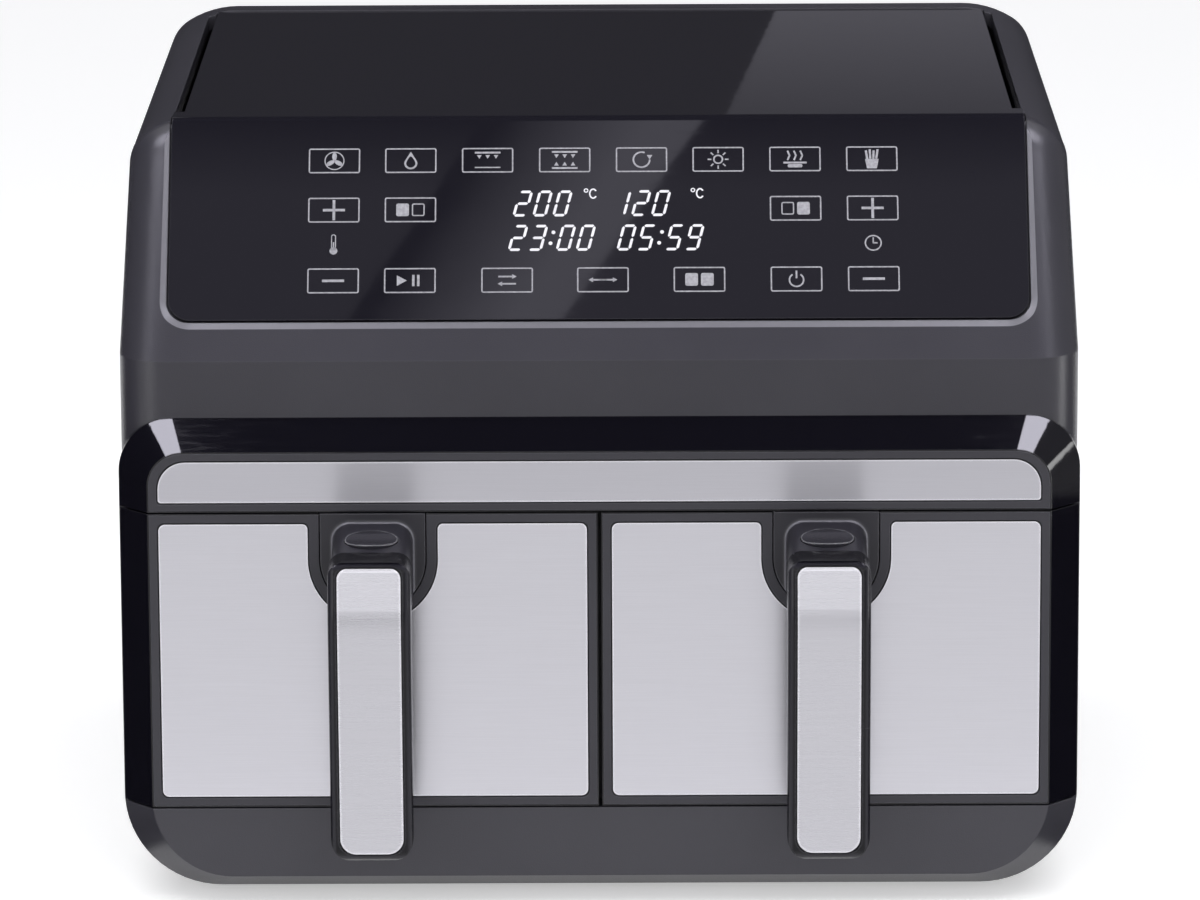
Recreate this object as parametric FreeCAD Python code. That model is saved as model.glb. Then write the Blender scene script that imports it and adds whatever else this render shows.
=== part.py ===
import FreeCAD, Part
import math
import os

os.makedirs("parts", exist_ok=True)
V = FreeCAD.Vector

# Main sizes, in millimetres, with the drawer fronts in the plane Y = 0 while building
WIDTH = 390.0
HEIGHT = 313.5
DEPTH = 360.0
REACH = 53.0
FOOT = 4.0
MID = WIDTH / 2
FRONT_Y = (REACH - DEPTH) / 2

# Clearances
FIT = 0.3
SNUG = 0.1
SEAM = 0.7
SLIDE = 0.4

# Heights of the stacked zones: leaning head, fascia, visor, drawers, plinth
HEAD = 90.1
FASCIA = 23.2
VISOR = 36.1
PLINTH = 36.5
CREASE_Z = HEIGHT - HEAD
VISOR_Z = CREASE_Z - FASCIA
SEAM_Z = VISOR_Z - VISOR
PLINTH_Z = FOOT + PLINTH

# Casing form
WALL = 3.0
SKIN = 6.2
CHAMFER_W = 12.3
CHAMFER_TOP = 11.4
CHAMFER_D = 14.0
CHAMFER_LOW = 7.4
BASE_R = 39.5
VISOR_R = 22.0
FACE_BASE_R = 32.5
FACE_VISOR_R = 14.0
CORNER_R = 20.0
LEAN = math.radians(34.0)
DRAFT = 3.0
TOP_HALF = MID - DRAFT
SHOULDER = 13.0
SHOULDER_X = MID - 2.7
SHOULDER_Z = HEIGHT - SHOULDER
SHOULDER_R = 42.0
CREST_R = 18.0
ROUND_Z = VISOR_Z - VISOR_R
CREST_Y = CHAMFER_D + HEAD * math.tan(LEAN)
SLOPE = HEAD / math.cos(LEAN)
FRAME_Y = CHAMFER_D + WALL
BACK_Y = DEPTH - 10.0

# Control cover with its seat, and the window and board behind it
COVER_T = 2.5
COVER_SINK = 0.6
COVER_GAP = 0.8
COVER_HALF = MID - 20.4
COVER_TOP_HALF = COVER_HALF - 4.4
COVER_LOW = 18.3
COVER_R = 9.0
COVER_STEP_Y = CREST_Y + 14.0
COVER_BACK = DEPTH - 13.0
LIP_W = 3.4
SLOT_W = 3.4
WINDOW_HALF = COVER_HALF - 24.6
WINDOW_LOW = COVER_LOW + 11.7
WINDOW_HIGH = SLOPE - 12.0
POST_R = 3.5
BOARD_DEPTH = SKIN + 2.8
BOARD_T = 1.6

# Front dress
FRONT_HALF = MID - CHAMFER_W
FRONT_LOW = FOOT + CHAMFER_LOW
FRONT_HIGH = VISOR_Z - CHAMFER_TOP
GAP_X = 0.75
BEZEL_T = 3.0
EDGE = 0.4
PLATE_T = 0.8
PLATE_IN = 4.0
PLATE_R = 3.0
BAND_R = 11.5
BAND_LOW = SEAM_Z + 3.6
BAND_HIGH = FRONT_HIGH - 3.7
CX = -(GAP_X + FRONT_HALF) / 2
DRAWER_LOW = PLINTH_Z + SEAM / 2
DRAWER_HIGH = SEAM_Z - SEAM

# Cooking chamber, pan and basket
SHEET = 1.2
CHAMBER_HALF = (FRONT_HALF - GAP_X) / 2 - 9.0
CHAMBER_LOW = PLINTH_Z + 3.5
CHAMBER_BACK = DEPTH - 22.0
RUNNER = 1.5
PAN_LOW = CHAMBER_LOW + SHEET + RUNNER + FIT
PAN_HIGH = DRAWER_HIGH - 13.4
PAN_HALF = CHAMBER_HALF - 4.5
PAN_FRONT = FRAME_Y + 1.0
PAN_BACK = CHAMBER_BACK - 18.0
PAN_R = 18.0
PAN_T = 1.5
TAPER = 3.5
BASKET_IN = 2.2
BASKET_FRONT = PAN_FRONT + 4.0
BASKET_LOW = PAN_LOW + 9.0
BASKET_GAP = PAN_T + BASKET_IN
BASKET_HALF = PAN_HALF - TAPER - BASKET_GAP + 0.4
LEDGE = 6.0

# Air movers over each chamber, stacked up from the basket rim
FAN_Y = (FRAME_Y + CHAMBER_BACK) / 2
GUARD_Z = PAN_HIGH + SHEET + 18.8
CEILING = GUARD_Z + 36.0
GUARD_R = CHAMBER_HALF - 4.0
GUARD_RIM = 3.0
COIL_Z = GUARD_Z + 10.0
COIL_R = 3.2
COIL_OUT = GUARD_R - 8.0
COIL_IN = COIL_OUT - 17.0
COIL_BEND = 7.0
COIL_GAP = math.radians(22.0)
FAN_R = COIL_IN - 7.0
SHAFT_R = 3.0
HUB_R = 7.0
VANE_T = 1.2
PROBE_R = 2.5
MOTOR_LOW = CEILING + 16.0
MOTOR_R = FAN_R - 17.0
MOTOR_H = 38.0
POWER_HALF = -CX - FAN_R - 11.7
POWER_Y = 60.0

# Handle and release button
SHIELD_R = 21.3
SHIELD_GAP = 0.5
NOTCH_R = 26.0
NOTCH_TURN = 2.5
SHIELD_Z = DRAWER_HIGH - 19.2
NOSE_HALF = 16.0
NOSE_R = 7.0
ROOT_R = 1.7
NOSE_Z = DRAWER_HIGH - 4.0
NOSE_D = 30.0
NOSE_TILT = math.radians(10.0)
NOSE_END_Z = NOSE_Z - NOSE_D * math.tan(NOSE_TILT)
NOSE_DROP = 25.0
GRIP_HALF = 16.6
GRIP_LOW = PLINTH_Z - 10.5
GRIP_HIGH = NOSE_END_Z + 0.3
GRIP_DEPTH = 15.0
GRIP_SET = 7.0
GRIP_R = 3.5
GRIP_HEAD_R = 6.0
GRIP_FOOT_R = 9.5
INLAY_HALF = 12.7
INLAY_T = 1.2
INLAY_HEAD_R = 4.0
INLAY_FOOT_R = 6.5
INLAY_LOW = GRIP_LOW + 3.5
INLAY_HIGH = GRIP_HIGH - 2.0
BUTTON_X = 10.6
BUTTON_Y = 9.4
BUTTON_H = 7.5
BUTTON_AT = 17.0
BUTTON_RISE = 2.4
DISH_R = 30.0
PRESS = 3.5
POCKET = BUTTON_H + 2 * PRESS + 0.5


def xz(y):
    return lambda a, b: V(a, y, b)


def yz(x):
    return lambda a, b: V(x, a, b)


def xy(z):
    return lambda a, b: V(a, b, z)


def on_slope(depth):
    """Points on the leaning control face: a across, b up the slope, depth under the face."""
    def place(a, b):
        y = CHAMFER_D + b * math.sin(LEAN) + depth * math.cos(LEAN)
        return V(a, y, CREASE_Z + b * math.cos(LEAN) - depth * math.sin(LEAN))
    return place


SLOPE_IN = V(0, math.cos(LEAN), -math.sin(LEAN))


def outline(corners, space):
    """Closed wire through (a, b, radius) corners, each rounded with its own radius."""
    legs = []
    count = len(corners)
    for i, (a, b, r) in enumerate(corners):
        here = V(a, b, 0)
        back = (V(*corners[i - 1][:2], 0) - here).normalize()
        ahead = (V(*corners[(i + 1) % count][:2], 0) - here).normalize()
        if r == 0:
            legs.append((here, None, here))
            continue
        half = back.getAngle(ahead) / 2
        cut = r / math.tan(half)
        inward = (back + ahead).normalize()
        middle = here + inward * (r / math.sin(half) - r)
        legs.append((here + back * cut, middle, here + ahead * cut))
    edges = []
    for i, (start, middle, end) in enumerate(legs):
        if middle:
            arc = [space(p.x, p.y) for p in (start, middle, end)]
            edges.append(Part.Arc(*arc).toShape())
        follow = legs[(i + 1) % count][0]
        if (follow - end).Length > 1e-6:
            edges.append(Part.makeLine(space(end.x, end.y), space(follow.x, follow.y)))
    return Part.Wire(edges)


def prism(corners, space, travel):
    return Part.Face(outline(corners, space)).extrude(travel)


def long_hole(a, b, half_long, half_wide, space, travel):
    """Cutter for a slot with rounded ends, centred at (a, b)."""
    x0, x1, y0, y1, r = a - half_long, a + half_long, b - half_wide, b + half_wide, half_wide * 0.95
    return prism([(x0, y0, r), (x1, y0, r), (x1, y1, r), (x0, y1, r)], space, travel)


def block(x0, x1, y0, y1, z0, z1):
    return Part.makeBox(x1 - x0, y1 - y0, z1 - z0, V(x0, y0, z0))


def rod(radius, start, travel):
    return Part.makeCylinder(radius, travel.Length, start, travel)


def pair(shape):
    """The shape with its mirror image across the middle plane."""
    return [shape, shape.mirror(V(0, 0, 0), V(1, 0, 0))]


def front_corners(inset):
    half, low, high = FRONT_HALF - inset, FRONT_LOW + inset, FRONT_HIGH - inset
    low_r, high_r = FACE_BASE_R - inset, FACE_VISOR_R - inset
    return [(-half, low, low_r), (half, low, low_r), (half, high, high_r), (-half, high, high_r)]


def body_corners(inset):
    half, low, high = MID - inset, FOOT + inset, VISOR_Z - inset
    low_r, high_r = BASE_R - inset, VISOR_R - inset
    return [(-half, low, low_r), (half, low, low_r), (half, high, high_r), (-half, high, high_r)]


def front_block():
    """The chamfered block that the plinth, drawer fronts and visor are cut from."""
    face = outline(front_corners(0), xz(0))
    root = outline(body_corners(0), xz(CHAMFER_D))
    return Part.makeLoft([face, root], True, True)


def plan(front, half, radius, back, z):
    corners = [(-half, back, 0), (-half, front, radius), (half, front, radius), (half, back, 0)]
    return outline(corners, xy(z))


def bend_height(inset, skin):
    return CREASE_Z + (inset - skin / math.cos(LEAN)) / math.tan(LEAN)


def hood(inset, skin, back):
    """Limit that rounds the shoulders between the sides and the top."""
    top, wide = HEIGHT - skin, MID - inset + 5
    sx, sz = SHOULDER_X - inset, SHOULDER_Z - skin * 0.7
    low, tx, r = sz - (wide - sx), sx - (top - sz), SHOULDER_R
    corners = [(-wide, 0, 0), (wide, 0, 0), (wide, low, 0), (tx, top, r), (-tx, top, r), (-wide, low, 0)]
    return prism(corners, xz(-5), V(0, back + 10, 0))


def upper_volume(inset, skin, back):
    """Body above the drawers, drawn in by inset at the walls and by skin under slope and top."""
    half, front, radius = MID - inset, CHAMFER_D + inset, CORNER_R - inset
    bend, top = bend_height(inset, skin), HEIGHT - skin + 4
    square = block(-half, half, front, back, SEAM_Z, ROUND_Z)
    upright = Part.Face(plan(front, half, radius, back, ROUND_Z)).extrude(V(0, 0, bend - ROUND_Z))
    rise = top - bend
    foot = plan(front, half, radius, back, bend)
    head = plan(front + rise * math.tan(LEAN), half - DRAFT * rise / HEAD, radius, back, top)
    leaning = Part.makeLoft([foot, head], True, True)
    shape = square.fuse([upright, leaning]).removeSplitter()
    return shape.common(hood(inset, skin, back))


def cover_strip(near, far):
    """Side profile of the bent cover between two depths under the casing face."""
    def foot(depth):
        p = on_slope(depth)(0, COVER_LOW)
        return p.y, p.z

    def crest(depth):
        return CREST_Y - depth * math.tan(LEAN) + depth / math.cos(LEAN), HEIGHT - depth
    return [foot(near) + (0,), crest(near) + (4,), (COVER_BACK, HEIGHT - near, 0),
            (COVER_BACK, HEIGHT - far, 0), crest(far) + (3,), foot(far) + (0,)]


def cover_blank(near, far, grow):
    """The cover between two depths, larger by grow at its edges."""
    half, top_half = COVER_HALF + grow, COVER_TOP_HALF + grow
    strip = prism(cover_strip(near, far), yz(-half), V(2 * half, 0, 0))
    if grow:
        strip = strip.fuse(strip.translated(V(0, -grow * math.sin(LEAN), -grow * math.cos(LEAN))))
    far_b = SLOPE + DEPTH
    low = COVER_LOW - grow
    face = [(-half, low, COVER_R), (half, low, COVER_R), (half, far_b, 0), (-half, far_b, 0)]
    strip = strip.common(prism(face, on_slope(-40), SLOPE_IN * (DEPTH + 60)))
    side = block(top_half, half + 1, COVER_STEP_Y + grow, DEPTH, HEIGHT - 20, HEIGHT + 20)
    return strip.cut(pair(side))


def cover_lip():
    """Bevel round the seat of the cover on the leaning face."""
    deep = COVER_SINK + 0.6
    rings = []
    for depth, grow in ((0, COVER_GAP + LIP_W), (deep, COVER_GAP)):
        half, low = COVER_HALF + grow, COVER_LOW - grow
        corners = [(-half, low, COVER_R + grow), (half, low, COVER_R + grow), (half, SLOPE - 4, 0),
                   (-half, SLOPE - 4, 0)]
        rings.append(outline(corners, on_slope(depth)))
    return Part.makeLoft(rings, True, True)


def crest_edges(shape):
    """Edges where the slope meets the top and the shoulders."""
    edges = []
    for edge in shape.Edges:
        middle = edge.valueAt((edge.FirstParameter + edge.LastParameter) / 2)
        if middle.z > SHOULDER_Z - 0.5 and middle.y < CREST_Y + SHOULDER:
            edges.append(edge)
    return edges


def ears(z):
    """Screw seats for the rear cover on both walls."""
    half = MID - WALL
    return pair(block(half - 14, half + 1, BACK_Y - 12, BACK_Y, z - 7, z + 7))


EAR_X = MID - WALL - 8
EAR_LOW = PLINTH_Z + 29.5
EAR_HIGH = CREASE_Z - 11.4
SCREW_R = 1.5


def rear_shanks():
    shanks = []
    for z in (EAR_LOW, EAR_HIGH):
        for x in (-EAR_X, EAR_X):
            shanks.append(rod(SCREW_R, V(x, BACK_Y - 9, z), V(0, 12, 0)))
    return shanks


def upper_casing():
    shape = upper_volume(0, 0, DEPTH)
    shape = shape.makeFillet(CREST_R, crest_edges(shape))
    shape = shape.cut(upper_volume(WALL, SKIN, DEPTH + 5))
    recess = cover_blank(-8, COVER_SINK + COVER_T, COVER_GAP)
    x, low, high = WINDOW_HALF, WINDOW_LOW, WINDOW_HIGH
    window = prism([(-x, low, 6), (x, low, 6), (x, high, 6), (-x, high, 6)], on_slope(-1), SLOPE_IN * 12)
    slot = block(COVER_TOP_HALF, COVER_TOP_HALF + COVER_GAP + SLOT_W, COVER_STEP_Y + COVER_GAP,
                 COVER_BACK - 5, HEIGHT - 2 * SKIN, HEIGHT + 1)
    shape = shape.cut([recess, cover_lip(), window] + pair(slot))
    posts = []
    for b in (low + 2 * POST_R, high - 2 * POST_R):
        foot = on_slope(SKIN - 1)(x + POST_R + 1.5, b)
        posts += pair(rod(POST_R, foot, SLOPE_IN * (BOARD_DEPTH - SKIN + 1)))
    return shape.fuse(posts + ears(EAR_HIGH)).cut(rear_shanks())


def control_cover():
    return cover_blank(COVER_SINK, COVER_SINK + COVER_T, 0)


def display_module():
    x, low, high = 46.0, WINDOW_LOW + 14, WINDOW_HIGH - 6.7
    face = [(-x, low, 2), (x, low, 2), (x, high, 2), (-x, high, 2)]
    under = COVER_SINK + COVER_T
    return prism(face, on_slope(under), SLOPE_IN * (BOARD_DEPTH - under))


def control_board():
    x, low, high = WINDOW_HALF + 10, WINDOW_LOW + 1, WINDOW_HIGH - 1
    face = [(-x, low, 3), (x, low, 3), (x, high, 3), (-x, high, 3)]
    return prism(face, on_slope(BOARD_DEPTH), SLOPE_IN * BOARD_T)


def power_board():
    """Board on four stand-offs over the gap between the chambers, with its tallest components."""
    x, y0, y1, z = POWER_HALF, FAN_Y - POWER_Y, FAN_Y + POWER_Y, CEILING + 8
    top = z + BOARD_T
    shape = block(-x, x, y0, y1, z, top)
    feet = [rod(3, V(a, b, CEILING), V(0, 0, 8)) for a in (8 - x, x - 8) for b in (y0 + 8, y1 - 8)]
    capacitor = rod(9, V(-0.4 * x, y0 + 30, top), V(0, 0, 24))
    relay = block(2, x - 6, y0 + 20, y0 + 52, top, top + 20)
    terminals = block(8 - x, x - 8, y1 - 45, y1 - 20, top, top + 12)
    return shape.fuse(feet + [capacitor, relay, terminals])


BASE_HALF = MID - 70.0
BASE_Y0 = 52.0
BASE_Y1 = DEPTH - 42.0
BASE_LAP = 7.0
BASE_T = 2.5


def base_shanks():
    shanks = []
    for x in (-BASE_HALF - 3.5, BASE_HALF + 3.5):
        for y in (BASE_Y0 + 20, (BASE_Y0 + BASE_Y1) / 2, BASE_Y1 - 20):
            shanks.append(rod(SCREW_R, V(x, y, FOOT), V(0, 0, WALL + BASE_T)))
    return shanks


def lower_casing():
    hull = prism(body_corners(0), xz(CHAMFER_D), V(0, DEPTH - CHAMFER_D, 0))
    hollow = prism(body_corners(WALL), xz(CHAMFER_D - 1), V(0, DEPTH, 0))
    shape = hull.common(block(-WIDTH, WIDTH, 0, DEPTH, 0, SEAM_Z)).cut(hollow)
    low = block(-WIDTH, WIDTH, -1, CHAMFER_D, 0, PLINTH_Z - SEAM / 2)
    plinth = front_block().common(low)
    scoop = prism(front_corners(WALL), xz(WALL), V(0, CHAMFER_D, 0))
    scoop = scoop.common(block(-WIDTH, WIDTH, 0, CHAMFER_D, 0, PLINTH_Z - 4))
    opening = block(-BASE_HALF, BASE_HALF, BASE_Y0, BASE_Y1, 0, FOOT + WALL + 1)
    shape = shape.fuse([plinth.cut(scoop)] + ears(EAR_LOW)).removeSplitter()
    return shape.cut([opening] + rear_shanks() + base_shanks())


def base_plate():
    half, y0, y1 = BASE_HALF + BASE_LAP, BASE_Y0 - BASE_LAP, BASE_Y1 + BASE_LAP
    corners = [(-half, y0, 6), (half, y0, 6), (half, y1, 6), (-half, y1, 6)]
    plate = prism(corners, xy(FOOT + WALL), V(0, 0, BASE_T))
    slots = []
    for col in range(-2, 3):
        for y in (BASE_Y0 + 60, BASE_Y1 - 60):
            slots.append(long_hole(col * BASE_HALF * 0.32, y, 14, 1.8, xy(0), V(0, 0, 20)))
    return plate.cut(slots + base_shanks())


def casing_screws():
    screws = []
    for shank in base_shanks():
        at = shank.BoundBox.Center
        head = Part.makeCone(2.4, 3.2, 1.6, V(at.x, at.y, FOOT - 1.6))
        screws.append(shank.fuse(head))
    for shank in rear_shanks():
        at = shank.BoundBox.Center
        head = Part.makeCone(3.2, 2.4, 1.8, V(at.x, BACK_Y + 3, at.z), V(0, 1, 0))
        screws.append(shank.fuse(head))
    return Part.makeCompound(screws)


FOOT_X = MID - 53.0
FOOT_FRONT = 46.0
FOOT_BACK = DEPTH - 30.0


def rubber_feet():
    feet = []
    for x in (-FOOT_X, FOOT_X):
        for y in (FOOT_FRONT, FOOT_BACK):
            tip = Part.makeCone(9.5, 11, 1.5, V(x, y, 0))
            feet.append(tip.fuse(rod(11, V(x, y, 1.5), V(0, 0, FOOT - 1.5))).removeSplitter())
    return Part.makeCompound(feet)


GLAND_X = MID - 77.0
GLAND_Z = FOOT + 32.0
GLAND_BORE = 3.6


def rear_cover():
    """Flat back with air slots behind the fans and a hole for the cord gland."""
    inset, skin = WALL + FIT, SKIN + FIT
    half, low, r = MID - inset, FOOT + inset, BASE_R - inset
    bend = bend_height(inset, skin)
    head = half - DRAFT * (HEIGHT - bend) / HEAD
    corners = [(-half, low, r), (half, low, r), (half, bend, 0), (head, HEIGHT, 0), (-head, HEIGHT, 0),
               (-half, bend, 0)]
    plate = prism(corners, xz(BACK_Y), V(0, 3, 0)).common(hood(inset, skin, DEPTH))
    slots = []
    for col in range(-2, 3):
        for row in range(9):
            z = CREASE_Z - 5.6 + 8 * row
            slots.append(long_hole(col * MID * 0.287, z, MID * 0.123, 1.75, xz(0), V(0, DEPTH, 0)))
    hole = rod(8, V(GLAND_X, 0, GLAND_Z), V(0, DEPTH, 0))
    return plate.cut(slots + [hole] + rear_shanks())


def cord_gland():
    y = BACK_Y
    side = [(GLAND_BORE, y - 4, 0), (10, y - 4, 0), (10, y, 0), (8, y, 0), (8, y + 3, 0),
            (12, y + 3, 0), (10.5, y + 7.5, 1.5), (GLAND_BORE, y + 7.5, 0)]
    ring = Part.Face(outline(side, xy(0))).revolve(V(0, 0, 0), V(0, 1, 0), 360)
    return ring.translated(V(GLAND_X, 0, GLAND_Z))


def visor_zone(inset):
    return block(-WIDTH, WIDTH, -1, DEPTH, SEAM_Z + inset, HEIGHT)


def band_corners(inset):
    half = FRONT_HALF - PLATE_IN - inset
    low, high = BAND_LOW + inset, BAND_HIGH - inset
    return [(-half, low, 1.5), (half, low, 1.5), (half, high, BAND_R),
            (-half, high, BAND_R)]


def visor_trim():
    shape = front_block().common(visor_zone(0))
    turn = prism(body_corners(0), xz(CHAMFER_D), V(0, CORNER_R, 0))
    turn = turn.common(block(-WIDTH, WIDTH, 0, DEPTH, ROUND_Z, HEIGHT)).cut(upper_volume(0, 0, DEPTH))
    pocket = prism(front_corners(EDGE), xz(-1), V(0, 1 + BEZEL_T, 0)).common(visor_zone(EDGE))
    hollow = block(-FRONT_HALF + 14, FRONT_HALF - 14, 6, CHAMFER_D, SEAM_Z + 4, FRONT_HIGH - 4)
    return shape.fuse(turn).removeSplitter().cut([pocket, hollow])


def band_frame():
    shape = prism(front_corners(EDGE + SNUG), xz(0), V(0, BEZEL_T, 0)).common(visor_zone(EDGE + SNUG))
    return shape.cut(prism(band_corners(-FIT), xz(-1), V(0, 1 + PLATE_T, 0)))


def eased(plate):
    """A thin plate with its front edges bevelled."""
    rims = [e for e in plate.Edges if e.BoundBox.YMax < 0.01]
    return plate.makeChamfer(PLATE_T * 0.4, rims)


def steel_band():
    return eased(prism(band_corners(0), xz(0), V(0, PLATE_T, 0)))


DOOR_HALF = PAN_HALF + 2.0
DOOR_LOW = PAN_LOW - 0.7
DOOR_HIGH = SEAM_Z - 5.0


def front_frame():
    plate = prism(body_corners(WALL + FIT), xz(CHAMFER_D), V(0, WALL, 0))
    plate = plate.common(block(-WIDTH, WIDTH, 0, DEPTH, 0, SEAM_Z))
    x0, x1 = CX - DOOR_HALF, CX + DOOR_HALF
    corners = [(x0, DOOR_LOW, 8), (x1, DOOR_LOW, 8), (x1, DOOR_HIGH, 3), (x0, DOOR_HIGH, 3)]
    return plate.cut(pair(prism(corners, xz(0), V(0, DEPTH, 0))))


def drawer_sensors():
    return Part.makeCompound(pair(block(-9, -2, FRAME_Y, FRAME_Y + 9, 100, 120)))


def tray(half_low, half_high, front, back, z_low, z_high, radius):
    """Solid tub that widens upwards, with an upright front."""
    rings = []
    for half, rear, z in ((half_low, back - TAPER, z_low), (half_high, back, z_high)):
        x0, x1, r = CX - half, CX + half, radius
        rings.append(outline([(x0, front, r), (x1, front, r), (x1, rear, r), (x0, rear, r)], xy(z)))
    return Part.makeLoft(rings, True, True)


def shield(radius, y0, y1, top):
    """Round-bottomed shield, straight sided up to its top."""
    x0, x1, low = CX - radius, CX + radius, SHIELD_Z - radius
    corners = [(x0, low, radius * 0.999), (x1, low, radius * 0.999), (x1, top, 0), (x0, top, 0)]
    return prism(corners, xz(y0), V(0, y1 - y0, 0))


def shield_way(y0, y1):
    return shield(SHIELD_R + SHIELD_GAP, y0, y1, HEIGHT)


def chamber():
    x0, x1 = CX - CHAMBER_HALF, CX + CHAMBER_HALF
    shape = block(x0, x1, FRAME_Y, CHAMBER_BACK, CHAMBER_LOW, CEILING)
    t, floor = SHEET, CHAMBER_LOW + SHEET
    shape = shape.cut(block(x0 + t, x1 - t, FRAME_Y - 1, CHAMBER_BACK - t, floor, CEILING - t))
    rails = []
    for x in (CX - PAN_HALF * 0.65, CX + PAN_HALF * 0.65):
        rails.append(block(x - 4, x + 4, FRAME_Y + 6, PAN_BACK - 4, floor, floor + RUNNER))
    holes = [rod(6, V(CX, FAN_Y, CEILING - 5), V(0, 0, 10)), probe_rod(PROBE_R)]
    holes += [rod(COIL_R, V(p.x, p.y, CEILING - 5), V(0, 0, 10)) for p in coil_ends()]
    return shape.fuse(rails).cut(holes)


def ring_point(radius, angle, z):
    """Point on a ring round the fan, with the angle counted from the back."""
    return V(CX - radius * math.sin(angle), FAN_Y + radius * math.cos(angle), z)


def ring_way(angle):
    return V(-math.cos(angle), -math.sin(angle), 0)


def coil_ends():
    """Where the two ends of the heater turn up through the ceiling."""
    ends = []
    for radius in (COIL_OUT, COIL_IN):
        ends.append(ring_point(radius, COIL_GAP, COIL_Z) - ring_way(COIL_GAP) * COIL_BEND)
    return ends


def probe_rod(radius):
    return rod(radius, V(CX + FAN_R, FAN_Y + GUARD_R + 17, CEILING - 18), V(0, 0, 28))


def temperature_probe():
    collar = rod(5, V(CX + FAN_R, FAN_Y + GUARD_R + 17, CEILING), V(0, 0, 3))
    return probe_rod(PROBE_R).fuse(collar)


def ring_arc(radius, begin, end):
    return Part.Arc(*[ring_point(radius, a, COIL_Z) for a in (begin, math.pi, end)]).toShape()


def coil_riser(end, radius):
    """Upright end of the heater and the bend that leads it into its ring."""
    begin = ring_point(radius, COIL_GAP, COIL_Z)
    s = 1 - math.sqrt(0.5)
    foot = end + V(0, 0, COIL_BEND)
    middle = end + (begin - end) * s + V(0, 0, COIL_BEND * s)
    return [Part.makeLine(end + COIL_RISE, foot), Part.Arc(foot, middle, begin).toShape()]


COIL_RISE = V(0, 0, CEILING + 10 - COIL_Z)


def heater():
    """One tube: out along the outer ring, back along the inner one, both ends turned up."""
    last = 2 * math.pi - COIL_GAP
    outer, inner = coil_ends()
    first, back = ring_point(COIL_OUT, last, COIL_Z), ring_point(COIL_IN, last, COIL_Z)
    turn = (first + back) * 0.5 + ring_way(last) * ((COIL_OUT - COIL_IN) / 2)
    edges = coil_riser(outer, COIL_OUT) + [ring_arc(COIL_OUT, COIL_GAP, last)]
    edges += [Part.Arc(first, turn, back).toShape(), ring_arc(COIL_IN, last, COIL_GAP)]
    edges += coil_riser(inner, COIL_IN)
    path = Part.Wire(Part.__sortEdges__(edges))
    section = Part.Wire([Part.makeCircle(COIL_R, outer + COIL_RISE, V(0, 0, 1))])
    return path.makePipeShell([section], True, False)


def guard_ring(outer):
    at = V(CX, FAN_Y, GUARD_Z)
    return rod(outer, at, V(0, 0, SHEET)).cut(rod(outer - GUARD_RIM, at - V(0, 0, 1), V(0, 0, 4)))


def fan_guard():
    """Four rings on eight arms, hung from the ceiling by four legs."""
    step = (GUARD_R - 18) / 3
    rings = [guard_ring(GUARD_R - i * step) for i in range(4)]
    middle = GUARD_R - GUARD_RIM / 2
    arms = []
    for i in range(8):
        arm = block(16, middle, -GUARD_RIM / 2, GUARD_RIM / 2, GUARD_Z, GUARD_Z + SHEET)
        arm.rotate(V(0, 0, 0), V(0, 0, 1), 22.5 + 45 * i)
        arms.append(arm.translated(V(CX, FAN_Y, 0)))
    legs = []
    for i in range(4):
        at = ring_point(middle, math.radians(45 + 90 * i), GUARD_Z)
        legs.append(rod(1.2, at, V(0, 0, CEILING - SHEET - GUARD_Z)))
    return rings[0].fuse(rings[1:] + arms + legs).removeSplitter()


def impeller(disc_r, disc_z, vane_low, vane_high, hub_low, hub_high):
    """Disc with swept vanes on one side and a bored hub."""
    shape = rod(disc_r, V(0, 0, disc_z), V(0, 0, SHEET))
    shape = shape.fuse(rod(HUB_R, V(0, 0, hub_low), V(0, 0, hub_high - hub_low)))
    vanes = []
    for i in range(10):
        vane = block(HUB_R - 1, disc_r - 1, -VANE_T / 2, VANE_T / 2, vane_low, vane_high)
        vane.rotate(V(HUB_R - 1, 0, 0), V(0, 0, 1), 18)
        vane.rotate(V(0, 0, 0), V(0, 0, 1), 36 * i)
        vanes.append(vane)
    shape = shape.fuse(vanes).common(rod(disc_r, V(0, 0, 0), V(0, 0, HEIGHT)))
    return shape.cut(rod(SHAFT_R, V(0, 0, 0), V(0, 0, HEIGHT))).translated(V(CX, FAN_Y, 0))


def hot_fan():
    return impeller(FAN_R, CEILING - 6.2, CEILING - 17, CEILING - 6.2, CEILING - 17, CEILING - 5)


def cooling_fan():
    return impeller(FAN_R - 6, CEILING + 3, CEILING + 4.2, CEILING + 11, CEILING + 3, CEILING + 12)


def motor_shaft():
    return rod(SHAFT_R, V(CX, FAN_Y, CEILING - 19), V(0, 0, MOTOR_LOW + 14 - CEILING + 19))


def motor_bracket():
    z = MOTOR_LOW - 2
    x0, x1, y0, y1 = CX - FAN_R, CX + FAN_R, FAN_Y - FAN_R, FAN_Y + FAN_R
    plate = prism([(x0, y0, 8), (x1, y0, 8), (x1, y1, 8), (x0, y1, 8)], xy(z), V(0, 0, 2))
    posts = []
    for x in (x0 + 6, x1 - 6):
        for y in (y0 + 6, y1 - 6):
            posts.append(rod(4, V(x, y, CEILING), V(0, 0, z - CEILING)))
    return plate.fuse(posts).cut(rod(8, V(CX, FAN_Y, 0), V(0, 0, HEIGHT)))


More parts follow.
